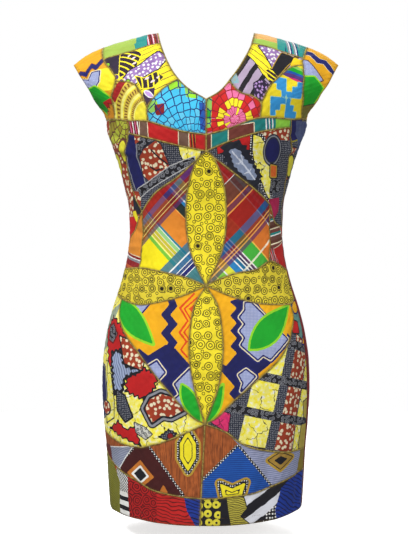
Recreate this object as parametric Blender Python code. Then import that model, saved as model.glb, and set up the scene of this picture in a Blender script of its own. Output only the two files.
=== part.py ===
"""Sleeveless patchwork shift dress, filled out as worn, with a zip at the centre back.

Metres in Blender; the tables below are in millimetres. The wearer faces -Y, +X is at the
viewer's right, +Z is up. The origin lies midway between the tops of the two shoulder seams.
Every panel is a piece of one smooth wall. A place on that wall has a turn (angle round the
body, 0 at the centre front, 180 at the centre back) and a rise (distance up the wall from
the underarm level).
"""
import bpy
import bmesh
from math import asin, ceil, cos, exp, pi, radians, sin
from mathutils import Vector
from mathutils.geometry import delaunay_2d_cdt

MM = 0.001

# Driving sizes, in millimetres
CLOTH = 1.5                # thickness of the cloth with its seam allowances
SEAM_GAP = 0.3             # between neighbouring panels
UNDERARM = -150.0          # height of the underarm level
CHEST_RISE = 150.0         # from the underarm level up to the shoulder line
FRONT_STEP = 25.0          # mesh spacing inside a front panel
BACK_STEP = 32.0           # mesh spacing inside a back panel
EDGE_STEP = 20.0           # mesh spacing along a seam
MEAN_RADIUS = 150.0        # one radian of turn, laid flat

# The body of the dress: level, half width, depth in front, depth behind
GIRTHS = (
    (-880, 176, 112, 110),
    (-820, 180, 112, 115),
    (-760, 183, 112, 122),
    (-700, 188, 112, 128),
    (-640, 190.5, 112, 130),
    (-595, 189, 110, 128),
    (-545, 182, 106, 118),
    (-500, 171, 99, 104),
    (-450, 155, 92, 90),
    (-400, 143, 87, 81),
    (-360, 139, 86, 78),
    (-320, 141, 89, 79),
    (-280, 148, 95, 82),
    (-240, 158, 101, 85),
    (-200, 171, 107, 88),
    (-150, 183, 110, 89),
    (-110, 213, 109, 89),
    (-75, 238, 107, 89),
    (-35, 254, 103, 88),
    (0, 266, 98, 86),
)

# The shoulder line: distance from the centre, height
SHOULDER_LINE = ((0, 3), (50, 2), (88, 0), (140, -12), (186, -26), (215, -39), (240, -57),
                 (270, -79))

# Where the front meets the back: level, turn on the left, turn on the right
SIDE_SEAM = (
    (-880, 92, 81),
    (-750, 92, 78),
    (-600, 92, 74),
    (-480, 92, 77),
    (-350, 92, 83),
    (-250, 92, 88),
    (-155, 91, 91),
)

# Fullness and folds: turn and level at each end, half width, height above the wall
FOLDS = (
    (24, -150, 24, -178, 46, 11),
    (-24, -150, -24, -178, 46, 11),
    (88, -168, 62, -214, 13, 4.5),
    (-88, -176, -60, -208, 12, 3.5),
    (86, -300, 60, -345, 16, -2.5),
    (-86, -310, -64, -350, 15, -2.5),
    (52, -560, 44, -880, 26, 3.5),
    (-60, -600, -50, -880, 24, 3.0),
    (118, -520, 112, -880, 28, 4.5),
    (-116, -560, -108, -880, 26, 4.0),
    (150, -600, 146, -880, 26, 3.5),
    (-150, -560, -148, -880, 28, 4.0),
    (120, -300, 150, -330, 16, -3.0),
    (-118, -310, -150, -335, 17, -3.0),
)

# Seam corners: name, left across, left up, right across, right up
CORNERS = (
    ("yoke_outer", 182, -52, 172, -51),
    ("yoke_neck", 81, -25, 81, -25),
    ("sleeve_bend", 158, -93, 171, -63),
    ("sleeve_foot", 163, -158, 171, -156),
    ("cup_neck", 48, -93, 39, -97),
    ("cup_side", 99, -142, 92, -135),
    ("cup_foot", 97, -165, 90, -159),
    ("band_top", 135, -162, 150, -159),
    ("band_end", 136, -184, 150, -173),
    ("kite_top", 16, -232, 13, -228),
    ("kite_corner", 114, -322, 114, -310),
    ("kite_foot", 120, -422, 113, -410),
    ("heart_shoulder", 152, -478, 151, -487),
)

# Corners on the centre line: name, across, up
CENTRE_CORNERS = (
    ("vee", 0, -129),
    ("cup_centre", 0, -189),
    ("band_centre", 0, -217),
    ("star", 0, -451),
    ("heart_tip", -2, -691),
    ("skirt_centre", -9, -824),
    ("hem_centre", -11, -872),
)

# Corners on the side seam: name, left level, right level
SIDE_CORNERS = (
    ("underarm", -155, -155),
    ("strip_top", -391, -352),
    ("petal_side_top", -427, -428),
    ("petal_side_foot", -469, -478),
    ("hip_side", -714, -752),
    ("skirt_side", -751, -789),
    ("hem_side", -863, -863),
)

# Corners on the shoulder line: name, across
SHOULDER_CORNERS = (("neck_point", 88), ("shoulder", 184), ("sleeve_tip", 240))

# Corners of the back: name, across, up
BACK_CORNERS = (("back_vee", 0, -139), ("hem_back", 0, -868))

# Smooth seam lines through corners and, between them, points (across, up).
# The right side follows the left one where it has no row of its own.
LINES_LEFT = {
    "neckline": ("neck_point", "yoke_neck", (67, -62), "cup_neck", (27, -113), "vee"),
    "yoke seam": ("yoke_neck", (133, -39), "yoke_outer"),
    "sleeve seam": ("shoulder", "yoke_outer", (166, -75), "sleeve_bend", (166, -124),
                    "sleeve_foot"),
    "armhole": ("sleeve_tip", (230, -73), (210, -105), (190, -138), "underarm"),
    "bust arc": ("sleeve_bend", (127, -99), (110, -120), "cup_side"),
    "cup arc": ("cup_neck", (63, -102), (80, -117), "cup_side", "cup_foot"),
    "band top": ("cup_centre", (43, -182), "cup_foot", "band_top", "sleeve_foot", "underarm"),
    "band foot": ("band_centre", (46, -207), (97, -193), "band_end"),
    "princess seam": ("band_top", "band_end", (141, -239), (131, -287), "kite_corner"),
    "strip top": ("kite_corner", (126, -345), (137, -371), "strip_top"),
    "kite edge": ("kite_top", (51, -262), (92, -291), "kite_corner"),
    "kite side": ("kite_corner", (114, -378), "kite_foot"),
    "petal edge": ("band_centre", "kite_top", (29, -268), (35, -310), (34, -358), (25, -399),
                   "star"),
    "waist petal top": ("star", (32, -438), (62, -431), (92, -425), "kite_foot",
                        "petal_side_top"),
    "waist petal foot": ("star", (48, -471), (94, -483), (122, -486), "heart_shoulder",
                         "petal_side_foot"),
    "lower petal edge": ("star", (20, -485), (28, -530), (29, -575), (20, -631), "heart_tip"),
    "heart edge": ("heart_shoulder", (156, -502), (148, -532), (118, -572), (74, -626),
                   (27, -677), "heart_tip"),
    "hip foot": ("heart_tip", (43, -711), (92, -731), (137, -737), "hip_side"),
    "skirt foot": ("skirt_centre", (43, -821), (92, -812), (134, -793), "skirt_side"),
    "bust centre seam": ("vee", "cup_centre", "band_centre"),
    "skirt centre seam": ("heart_tip", "skirt_centre", "hem_centre"),
    "hem": ("hem_centre", (45, -872), (95, -870), (140, -866), "hem_side"),
}
LINES_RIGHT = {
    "neckline": ("neck_point", "yoke_neck", (63, -62), "cup_neck", (22, -116), "vee"),
    "sleeve seam": ("shoulder", "yoke_outer", "sleeve_bend", (170, -108), "sleeve_foot"),
    "bust arc": ("sleeve_bend", (150, -68), (130, -84), (109, -106), "cup_side"),
    "cup arc": ("cup_neck", (57, -117), (77, -123), "cup_side", "cup_foot"),
    "band top": ("cup_centre", (36, -179), "cup_foot", "band_top", "sleeve_foot", "underarm"),
    "band foot": ("band_centre", (41, -199), (85, -184), (122, -177), "band_end"),
    "princess seam": ("band_top", "band_end", (149, -212), (145, -256), (139, -301),
                      "strip_top"),
    "strip top": ("kite_corner", (124, -338), "strip_top"),
    "kite edge": ("kite_top", (60, -263), "kite_corner"),
    "kite side": ("kite_corner", (114, -363), "kite_foot"),
    "waist petal top": ("star", (24, -439), (56, -429), (88, -424), "kite_foot",
                        (131, -416), "petal_side_top"),
    "heart edge": ("heart_shoulder", (157, -510), (148, -546), (128, -583), (94, -613),
                   (51, -649), (20, -679), "heart_tip"),
    "hip foot": ("heart_tip", (36, -707), (60, -726), (92, -739), (140, -749), "hip_side"),
    "skirt foot": ("skirt_centre", (33, -822), (85, -816), (135, -801), "skirt_side"),
}
BACK_LINES = {
    "back neckline": ("neck_point", (74, -48), (48, -98), (22, -128), "back_vee"),
    "back armhole": ("sleeve_tip", (230, -73), (210, -105), (190, -138), "underarm"),
    "back hem": ("hem_side", (120, -866), "hem_back"),
}

# Panels of one side: name, corners in order round the panel
PANELS_LEFT = (
    ("yoke", "neck_point yoke_neck yoke_outer shoulder"),
    ("cap_sleeve", "shoulder yoke_outer sleeve_bend sleeve_foot underarm sleeve_tip"),
    ("bust_upper", "yoke_neck cup_neck cup_side sleeve_bend yoke_outer"),
    ("bust_side", "sleeve_bend cup_side cup_foot band_top sleeve_foot"),
    ("cup", "cup_neck vee cup_centre cup_foot cup_side"),
    ("under_bust_band", "cup_foot cup_centre band_centre band_end band_top"),
    ("bodice", "band_end band_centre kite_top kite_corner"),
    ("side_panel", "sleeve_foot band_top band_end kite_corner strip_top underarm"),
    ("kite", "kite_top star kite_foot kite_corner"),
    ("waist_strip", "kite_corner kite_foot petal_side_top strip_top"),
    ("waist_petal", "kite_foot star heart_shoulder petal_side_foot petal_side_top"),
    ("heart", "star heart_tip heart_shoulder"),
    ("hip", "heart_shoulder heart_tip hip_side petal_side_foot"),
    ("skirt_panel", "heart_tip skirt_centre skirt_side hip_side"),
    ("hem_band", "skirt_centre hem_centre hem_side skirt_side"),
)
PANELS_RIGHT = {
    "bodice": "band_end band_centre kite_top kite_corner strip_top",
    "side_panel": "sleeve_foot band_top band_end strip_top underarm",
}
BACK_PANEL = ("neck_point shoulder sleeve_tip underarm strip_top petal_side_top "
              "petal_side_foot hip_side skirt_side hem_side hem_back back_vee")

# Base colours of the cloth: left, right
COLOURS = {
    "yoke": ((0.45, 0.66, 0.42), (0.12, 0.52, 0.45)),
    "cap_sleeve": ((0.86, 0.55, 0.06), (0.70, 0.48, 0.10)),
    "bust_upper": ((0.42, 0.32, 0.30), (0.55, 0.50, 0.52)),
    "bust_side": ((0.78, 0.60, 0.15), (0.90, 0.80, 0.14)),
    "cup": ((0.14, 0.62, 0.84), (0.84, 0.16, 0.20)),
    "under_bust_band": ((0.62, 0.05, 0.06), (0.12, 0.48, 0.42)),
    "bodice": ((0.12, 0.13, 0.32), (0.62, 0.50, 0.16)),
    "side_panel": ((0.62, 0.55, 0.18), (0.16, 0.17, 0.30)),
    "kite": ((0.80, 0.40, 0.12), (0.50, 0.12, 0.12)),
    "waist_strip": ((0.80, 0.42, 0.10), (0.48, 0.12, 0.12)),
    "waist_petal": ((0.90, 0.80, 0.10), (0.90, 0.80, 0.10)),
    "heart": ((0.92, 0.64, 0.05), (0.92, 0.64, 0.05)),
    "hip": ((0.45, 0.20, 0.16), (0.52, 0.44, 0.20)),
    "skirt_panel": ((0.32, 0.28, 0.42), (0.32, 0.28, 0.42)),
    "hem_band": ((0.46, 0.42, 0.12), (0.20, 0.20, 0.16)),
    "back": ((0.38, 0.05, 0.06), (0.38, 0.05, 0.06)),
    "petal": ((0.92, 0.84, 0.12), (0.92, 0.84, 0.12)),
}

# The zip at the centre back
ZIP_TOP_DROP = 3.0         # from the bottom of the back vee down to the slider
SLIDER_SIZE = (7.0, 2.4, 11.0)
BRIDGE_WIDTH = 1.8
BRIDGE_BAR = 1.0
BRIDGE_CLEAR = 2.4         # under the bridge
BRIDGE_REACH = 3.6         # from the pin to each foot's middle
PIN_RADIUS = 0.65
PULL_ARM = 1.3
PULL_THICKNESS = 1.3
PULL_SLOT = (3.2, 6.0)     # width, and depth below the pin
PULL_LENGTH = 26.0
PULL_WIDTH = 6.5


def smooth_table(rows, column):
    """Monotone cubic through the first column and the given column of a table."""
    xs = [row[0] for row in rows]
    ys = [row[column] for row in rows]
    steps = [b - a for a, b in zip(xs, xs[1:])]
    slopes = [(ys[i + 1] - ys[i]) / steps[i] for i in range(len(steps))]
    tangents = [slopes[0]]
    for before, after in zip(slopes, slopes[1:]):
        flat = before * after <= 0
        tangents.append(0 if flat else 2 * before * after / (before + after))
    tangents.append(slopes[-1])

    def value(x):
        x = min(max(x, xs[0]), xs[-1])
        i = 0
        while i < len(steps) - 1 and x > xs[i + 1]:
            i += 1
        t = (x - xs[i]) / steps[i]
        return (ys[i] * (1 + 2 * t) * (1 - t) ** 2 + ys[i + 1] * t * t * (3 - 2 * t)
                + steps[i] * t * (1 - t) * (tangents[i] * (1 - t) - tangents[i + 1] * t))

    return value


half_width = smooth_table(GIRTHS, 1)
front_depth = smooth_table(GIRTHS, 2)
back_depth = smooth_table(GIRTHS, 3)
shoulder_height = smooth_table(SHOULDER_LINE, 1)
side_turn = {-1: smooth_table(SIDE_SEAM, 1), 1: smooth_table(SIDE_SEAM, 2)}


def level_at(rise):
    """Height in the girth table for a distance up the wall."""
    if rise < 0:
        return UNDERARM + rise
    return UNDERARM + CHEST_RISE * sin(min(rise / CHEST_RISE, pi / 2))


def rise_at(level):
    if level < UNDERARM:
        return level - UNDERARM
    return CHEST_RISE * asin(min(1.0, (level - UNDERARM) / CHEST_RISE))


def bare_point(turn, rise):
    """The smooth wall, before its folds: turn in radians, negative on the left."""
    level = level_at(rise)
    across = half_width(level) * sin(turn)
    depth = front_depth(level) if cos(turn) > 0 else back_depth(level)
    if rise < 0:
        return Vector((across, -depth * cos(turn), level))
    angle = min(rise / CHEST_RISE, pi / 2)
    share = (level - UNDERARM) / CHEST_RISE
    height = UNDERARM + share * (shoulder_height(abs(across)) - UNDERARM)
    return Vector((across, -depth * cos(turn) * cos(angle), height))


def outward(turn, rise):
    """Direction pointing out of the wall."""
    small = 0.002
    top = min(rise, CHEST_RISE * pi / 2 - 0.5)
    along = bare_point(turn + small, top) - bare_point(turn - small, top)
    up = bare_point(turn, top + 0.4) - bare_point(turn, top - 0.4)
    return along.cross(up).normalized()


def fold_height(turn, rise):
    """How far the folds and the bust lift the wall at a place."""
    place = Vector((turn * MEAN_RADIUS, rise))
    lift = 0.0
    for start_turn, start, end_turn, end, width, height in FOLDS:
        foot = Vector((radians(start_turn) * MEAN_RADIUS, rise_at(start)))
        run = Vector((radians(end_turn) * MEAN_RADIUS, rise_at(end))) - foot
        share = (place - foot).dot(run) / run.length_squared
        near = foot + run * min(max(share, 0.0), 1.0)
        distance = (place - near).length
        lift += height * exp(-(distance / width) ** 2)
    return lift


def wall_point(turn, rise, inside=0.0):
    """A point on the outer face of the cloth, or inside millimetres behind it."""
    lift = fold_height(turn, rise) - inside
    return bare_point(turn, rise) + outward(turn, rise) * lift


def flat_place(across, up, behind=False):
    """Turn and rise of the point that the front view shows at across and up."""
    if up > UNDERARM:
        share = (up - UNDERARM) / (shoulder_height(abs(across)) - UNDERARM)
        rise = CHEST_RISE * asin(min(1.0, share))
        level = level_at(rise)
    else:
        rise = up - UNDERARM
        level = up
    turn = asin(max(-1.0, min(1.0, across / half_width(level))))
    if behind:
        turn = pi - turn
    return Vector((turn * MEAN_RADIUS, rise))


def corner_places(side):
    """Flat places of all the corners of one side, as if it were the right side."""
    first = 1 if side < 0 else 3
    places = {row[0]: flat_place(row[first], row[first + 1]) for row in CORNERS}
    for name, across, up in CENTRE_CORNERS:
        places[name] = flat_place(side * across, up)
    for name, *levels in SIDE_CORNERS:
        level = levels[0] if side < 0 else levels[1]
        places[name] = side_place(side, level)
    for name, across in SHOULDER_CORNERS:
        places[name] = flat_place(across, 100)
    for name, across, up in BACK_CORNERS:
        places[name] = flat_place(across, up, behind=True)
    return places


def side_place(side, level):
    return Vector((radians(side_turn[side](level)) * MEAN_RADIUS, rise_at(level)))


def smooth_run(points):
    """Catmull-Rom curve through flat places, as one list of points for each stretch."""
    stretches = []
    ends = [points[0] * 2 - points[1]] + points + [points[-1] * 2 - points[-2]]
    for before, start, end, after in zip(ends, ends[1:], ends[2:], ends[3:]):
        count = max(1, ceil((end - start).length / EDGE_STEP))
        stretch = []
        for i in range(count):
            t = i / count
            stretch.append(0.5 * (2 * start + (end - before) * t
                                  + (2 * before - 5 * start + 4 * end - after) * t * t
                                  + (3 * start - before - 3 * end + after) * t ** 3))
        stretches.append(stretch)
    return stretches


def carried_back(place):
    """The same point of the shoulder line, counted from the back panel."""
    return Vector((pi * MEAN_RADIUS - place.x, place.y))


def seam_lines(side):
    """Every line of one side by title: a list of (corner name or None, flat place)."""
    places = corner_places(side)
    tables = dict(LINES_LEFT)
    if side > 0:
        tables.update(LINES_RIGHT)
    on_shoulder = [name for name, across in SHOULDER_CORNERS]
    lines = {}
    for title, stops in list(tables.items()) + list(BACK_LINES.items()):
        behind = title in BACK_LINES
        points = []
        for stop in stops:
            if not isinstance(stop, str):
                points.append(flat_place(*stop, behind))
            elif behind and stop in on_shoulder:
                points.append(carried_back(places[stop]))
            else:
                points.append(places[stop])
        line = []
        for stop, stretch in zip(stops, smooth_run(points)):
            line.append((stop if isinstance(stop, str) else None, stretch[0]))
            line += [(None, place) for place in stretch[1:]]
        lines[title] = line + [(stops[-1], points[-1])]
    lines["shoulder line"] = shoulder_run(places)
    lines["side seam"] = side_run(side)
    lines["centre back seam"] = straight_run("back_vee", "hem_back", places)
    return lines


def shoulder_run(places):
    """The shoulder line, from the neck to the tip of the sleeve."""
    line = []
    names = [name for name, across in SHOULDER_CORNERS]
    for start, end in zip(names, names[1:]):
        line += straight_run(start, end, places)[:-1]
    return line + [(names[-1], places[names[-1]])]


def side_run(side):
    """The side seam, from the underarm to the hem."""
    column = 1 if side < 0 else 2
    line = []
    for start, end in zip(SIDE_CORNERS, SIDE_CORNERS[1:]):
        count = max(1, ceil((start[column] - end[column]) / EDGE_STEP))
        for i in range(count):
            level = start[column] + (end[column] - start[column]) * i / count
            line.append((None if i else start[0], side_place(side, level)))
    last = SIDE_CORNERS[-1]
    line.append((last[0], side_place(side, last[column])))
    return line


def straight_run(start, end, places):
    count = max(1, ceil((places[end] - places[start]).length / EDGE_STEP))
    line = [(start, places[start])]
    line += [(None, places[start].lerp(places[end], i / count)) for i in range(1, count)]
    return line + [(end, places[end])]


def stretch_between(lines, start, end):
    """The part of a seam line from one corner to another, without its last point."""
    for line in lines.values():
        names = [name for name, place in line]
        if start in names and end in names:
            first, last = names.index(start), names.index(end)
            step = 1 if last > first else -1
            return [line[i][1] for i in range(first, last, step)]
    raise ValueError("no seam joins %s and %s" % (start, end))


def outline_of(lines, corners):
    """Flat outline of a panel, from the names of its corners."""
    names = corners.split()
    outline = []
    for start, end in zip(names, names[1:] + names[:1]):
        outline += stretch_between(lines, start, end)
    return outline


def signed_area(outline):
    pairs = zip(outline, outline[1:] + outline[:1])
    return 0.5 * sum(a.x * b.y - b.x * a.y for a, b in pairs)


def drawn_in(outline):
    """The outline moved in by half of the seam gap, measured on the wall itself."""
    solid = [bare_point(p.x / MEAN_RADIUS, p.y) for p in outline]
    moved = []
    for i, place in enumerate(outline):
        turn, rise = place.x / MEAN_RADIUS, min(place.y, CHEST_RISE * pi / 2 - 0.5)
        normal = outward(turn, rise)
        before = (solid[i] - solid[i - 1]).normalized()
        after = (solid[(i + 1) % len(solid)] - solid[i]).normalized()
        inwards = normal.cross(before).normalized() + normal.cross(after).normalized()
        inwards = inwards * (SEAM_GAP / max(inwards.length_squared, 0.05))
        step = 0.05
        across = (bare_point(turn + step / MEAN_RADIUS, rise)
                  - bare_point(turn - step / MEAN_RADIUS, rise)) / (2 * step)
        along = (bare_point(turn, rise + step) - bare_point(turn, rise - step)) / (2 * step)
        a, b, c = across.dot(across), across.dot(along), along.dot(along)
        p, q = across.dot(inwards), along.dot(inwards)
        scale = a * c - b * b
        moved.append(place + Vector(((p * c - q * b) / scale, (q * a - p * b) / scale)))
    return moved


def is_inside(point, outline, margin):
    """Whether a flat place lies inside an outline, clear of its edge by the margin."""
    inside = False
    for a, b in zip(outline, outline[1:] + outline[:1]):
        if (a.y > point.y) != (b.y > point.y):
            if point.x < a.x + (b.x - a.x) * (point.y - a.y) / (b.y - a.y):
                inside = not inside
        run = b - a
        share = min(1.0, max(0.0, (point - a).dot(run) / run.length_squared))
        if (a + run * share - point).length < margin:
            return False
    return inside


def inner_places(outline, step):
    """Rows of places inside an outline, every other row set half a step over."""
    low = Vector((min(p.x for p in outline), min(p.y for p in outline)))
    high = Vector((max(p.x for p in outline), max(p.y for p in outline)))
    places = []
    for row in range(int((high.y - low.y) / (step * 0.87)) + 1):
        for column in range(int((high.x - low.x) / step) + 2):
            place = low + Vector(((column - 0.5 * (row % 2)) * step, row * step * 0.87))
            if is_inside(place, outline, 0.55 * step):
                places.append(place)
    return places


def cloth_panel(name, outline, side, step, colour):
    """A wall of cloth over a flat outline; side -1 turns it over to the left."""
    if signed_area(outline) < 0:
        outline = outline[::-1]
    edge = drawn_in(outline)
    places = edge + inner_places(edge, step)
    count = len(edge)
    rim = [(i, (i + 1) % count) for i in range(count)]
    flat, _, triangles, _, _, _ = delaunay_2d_cdt(places, rim, [], 1, 1e-5)
    mesh = bmesh.new()
    faces = {}
    for layer, depth in (("outer", 0.0), ("inner", CLOTH)):
        verts = []
        for place in flat:
            point = wall_point(side * place.x / MEAN_RADIUS, place.y, depth)
            verts.append(mesh.verts.new(point * MM))
        faces[layer] = verts
    flip = side < 0
    for a, b, c in triangles:
        for layer, turned in (("outer", flip), ("inner", not flip)):
            corner = [faces[layer][i] for i in ((a, c, b) if turned else (a, b, c))]
            mesh.faces.new(corner)
    for a, b in rim:
        quad = [faces["outer"][b], faces["outer"][a], faces["inner"][a], faces["inner"][b]]
        mesh.faces.new(quad[::-1] if flip else quad)
    return finish_object(name, mesh, colour, 0.85, 0.0, 60)


def finish_object(name, mesh, colour, roughness, metallic, sharp_angle):
    """Turn a bmesh into a named object with its own material, shaded smooth."""
    data = bpy.data.meshes.new(name)
    mesh.to_mesh(data)
    mesh.free()
    data.shade_smooth()
    data.set_sharp_from_angle(angle=radians(sharp_angle))
    material = bpy.data.materials.new(name)
    material.use_nodes = True
    shader = material.node_tree.nodes["Principled BSDF"]
    shader.inputs["Base Color"].default_value = (*colour, 1.0)
    shader.inputs["Roughness"].default_value = roughness
    shader.inputs["Metallic"].default_value = metallic
    data.materials.append(material)
    item = bpy.data.objects.new(name, data)
    bpy.context.scene.collection.objects.link(item)
    return item


def make_side(side):
    """All the panels of one side of the dress."""
    lines = seam_lines(side)
    word = "left" if side < 0 else "right"
    for name, corners in PANELS_LEFT:
        if side > 0:
            corners = PANELS_RIGHT.get(name, corners)
        colour = COLOURS[name][0 if side < 0 else 1]
        outline = outline_of(lines, corners)
        cloth_panel("%s_%s" % (name, word), outline, side, FRONT_STEP, colour)
    behind = {title: lines[title] for title in BACK_LINES}
    behind["side seam"] = lines["side seam"]
    behind["centre back seam"] = lines["centre back seam"]
    behind["shoulder line"] = [(stop, carried_back(place))
                               for stop, place in lines["shoulder line"]]
    outline = outline_of(behind, BACK_PANEL)
    cloth_panel("back_%s" % word, outline, side, BACK_STEP, COLOURS["back"][0])


def make_petal(name, title, colour):
    """A petal on the centre front, between its left and its right edge."""
    left, right = ([Vector((side * place.x, place.y)) for stop, place in seam_lines(side)[title]]
                   for side in (-1, 1))
    cloth_panel(name, left + right[-2:0:-1], 1, FRONT_STEP, colour)


def box(mesh, low, high):
    """A closed box between two corners."""
    corners = [mesh.verts.new((x * MM, y * MM, z * MM))
               for x in (low[0], high[0]) for y in (low[1], high[1]) for z in (low[2], high[2])]
    for a, b, c, d in ((0, 1, 3, 2), (4, 6, 7, 5), (0, 4, 5, 1), (2, 3, 7, 6), (0, 2, 6, 4),
                       (1, 5, 7, 3)):
        mesh.faces.new([corners[a], corners[b], corners[c], corners[d]])


def joined(name, shapes, colour, roughness, metallic):
    """One solid from several overlapping shapes."""
    first, *others = [finish_object(name if i == 0 else "%s_%d" % (name, i), shape, colour,
                                    roughness, metallic, 30)
                      for i, shape in enumerate(shapes)]
    for other in others:
        union = first.modifiers.new("union", "BOOLEAN")
        union.operation = "UNION"
        union.solver = "EXACT"
        union.object = other
        other.hide_render = True
        other.display_type = "WIRE"
    return first


def plate(points, low_y, high_y):
    """A flat plate: an outline of (x, z) points, thick along Y."""
    mesh = bmesh.new()
    verts = [mesh.verts.new((x * MM, low_y * MM, z * MM)) for x, z in points]
    face = mesh.faces.new(verts)
    grown = bmesh.ops.extrude_face_region(mesh, geom=[face])
    moved = [item for item in grown["geom"] if isinstance(item, bmesh.types.BMVert)]
    bmesh.ops.translate(mesh, verts=moved, vec=(0, (high_y - low_y) * MM, 0))
    bmesh.ops.recalc_face_normals(mesh, faces=mesh.faces)
    return mesh


def rod(radius, half_length, y, z, sides=16):
    """A round bar along X."""
    mesh = bmesh.new()
    ring = [(y + radius * cos(2 * pi * i / sides), z + radius * sin(2 * pi * i / sides))
            for i in range(sides)]
    ends = [[mesh.verts.new((x * MM, p * MM, q * MM)) for p, q in ring]
            for x in (-half_length, half_length)]
    mesh.faces.new(ends[0])
    mesh.faces.new(ends[1][::-1])
    for i in range(sides):
        j = (i + 1) % sides
        mesh.faces.new([ends[0][j], ends[0][i], ends[1][i], ends[1][j]])
    bmesh.ops.recalc_face_normals(mesh, faces=mesh.faces)
    return mesh


def zip_centre():
    """Height of the slider's middle, and the outer face of the cloth behind it."""
    height = BACK_CORNERS[0][2] - ZIP_TOP_DROP - SLIDER_SIZE[2] / 2
    reach = [wall_point(pi, rise_at(height + offset)).y
             for offset in (-SLIDER_SIZE[2] / 2, 0, SLIDER_SIZE[2] / 2)]
    return height, max(reach)


def make_slider():
    """The slider's body, with the bridge that carries the pull."""
    height, face = zip_centre()
    wide, thick, tall = SLIDER_SIZE
    low = face + SEAM_GAP
    body = bmesh.new()
    box(body, (-wide / 2, low, height - tall / 2), (wide / 2, low + thick, height + tall / 2))
    bmesh.ops.recalc_face_normals(body, faces=body.faces)
    bmesh.ops.bevel(body, geom=[e for e in body.edges], offset=0.6 * MM, segments=2,
                    affect="EDGES", profile=0.5)
    top = low + thick
    span = bmesh.new()
    box(span, (-BRIDGE_WIDTH / 2, top + BRIDGE_CLEAR, height - BRIDGE_REACH - BRIDGE_BAR / 2),
        (BRIDGE_WIDTH / 2, top + BRIDGE_CLEAR + BRIDGE_BAR,
         height + BRIDGE_REACH + BRIDGE_BAR / 2))
    feet = []
    for way in (-1, 1):
        foot = bmesh.new()
        middle = height + way * BRIDGE_REACH
        box(foot, (-BRIDGE_WIDTH / 2, top - 0.5, middle - BRIDGE_BAR / 2),
            (BRIDGE_WIDTH / 2, top + BRIDGE_CLEAR + 0.5, middle + BRIDGE_BAR / 2))
        feet.append(foot)
    for shape in [span] + feet:
        bmesh.ops.recalc_face_normals(shape, faces=shape.faces)
    joined("zip_slider", [body, span] + feet, (0.45, 0.36, 0.18), 0.35, 1.0)


def pin_place():
    """Depth and height of the pin that the pull swings on."""
    height, face = zip_centre()
    return face + SEAM_GAP + SLIDER_SIZE[1] + BRIDGE_CLEAR / 2, height


def make_pull():
    """The pull tab: a pin under the bridge, two arms and a rounded tab."""
    depth, height = pin_place()
    half = PULL_SLOT[0] / 2 + PULL_ARM
    low, high = depth - PULL_THICKNESS / 2, depth + PULL_THICKNESS / 2
    shapes = [rod(PIN_RADIUS, half, depth, height)]
    for way in (-1, 1):
        inner, outer = way * PULL_SLOT[0] / 2, way * half
        arm = [(inner, height), (outer, height), (outer, height - PULL_SLOT[1] - 1),
               (inner, height - PULL_SLOT[1] - 1)]
        shapes.append(plate(arm, low, high))
    tab = [(-half, height - PULL_SLOT[1]), (half, height - PULL_SLOT[1])]
    radius = PULL_WIDTH / 2
    centre = height - PULL_LENGTH + radius
    for i in range(13):
        angle = -pi * i / 12
        tab.append((radius * cos(angle), centre + radius * sin(angle)))
    shapes.append(plate(tab, low, high))
    joined("zip_pull", shapes, (0.45, 0.36, 0.18), 0.35, 1.0)


def main():
    for item in list(bpy.data.objects):
        bpy.data.objects.remove(item, do_unlink=True)
    for side in (-1, 1):
        make_side(side)
    make_petal("petal_upper", "petal edge", COLOURS["petal"][0])
    make_petal("petal_lower", "lower petal edge", COLOURS["petal"][0])
    make_slider()
    make_pull()


main()
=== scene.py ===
"""Looks of the patchwork shift dress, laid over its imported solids.

Tables are in millimetres and degrees; Blender's lengths are metres. The wearer faces -Y, +X is
at the viewer's right, +Z is up. The origin lies midway between the tops of the shoulder seams.
A place on the dress has a turn (angle round the body, 0 at the centre front, times
MEAN_RADIUS) and a rise (distance up the wall from the underarm level). A print's place is
where the cloth lies flat: across from the centre line of the front, and up.
"""
from math import asin, ceil, cos, pi, radians, sin

import bpy
import numpy as np
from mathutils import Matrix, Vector
from mathutils.geometry import delaunay_2d_cdt


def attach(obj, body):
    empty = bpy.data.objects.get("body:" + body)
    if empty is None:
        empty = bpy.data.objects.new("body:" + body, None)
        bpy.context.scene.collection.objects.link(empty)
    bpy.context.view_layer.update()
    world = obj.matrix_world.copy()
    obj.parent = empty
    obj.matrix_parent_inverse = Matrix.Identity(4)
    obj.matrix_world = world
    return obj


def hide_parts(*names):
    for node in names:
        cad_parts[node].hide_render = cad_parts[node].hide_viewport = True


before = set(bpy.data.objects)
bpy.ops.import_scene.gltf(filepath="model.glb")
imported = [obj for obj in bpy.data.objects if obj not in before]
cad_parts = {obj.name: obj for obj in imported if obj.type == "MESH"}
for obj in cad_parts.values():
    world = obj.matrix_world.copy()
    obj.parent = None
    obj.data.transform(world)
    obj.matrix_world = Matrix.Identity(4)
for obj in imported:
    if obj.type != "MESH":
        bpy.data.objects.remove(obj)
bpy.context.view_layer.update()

MM = 0.001

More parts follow.
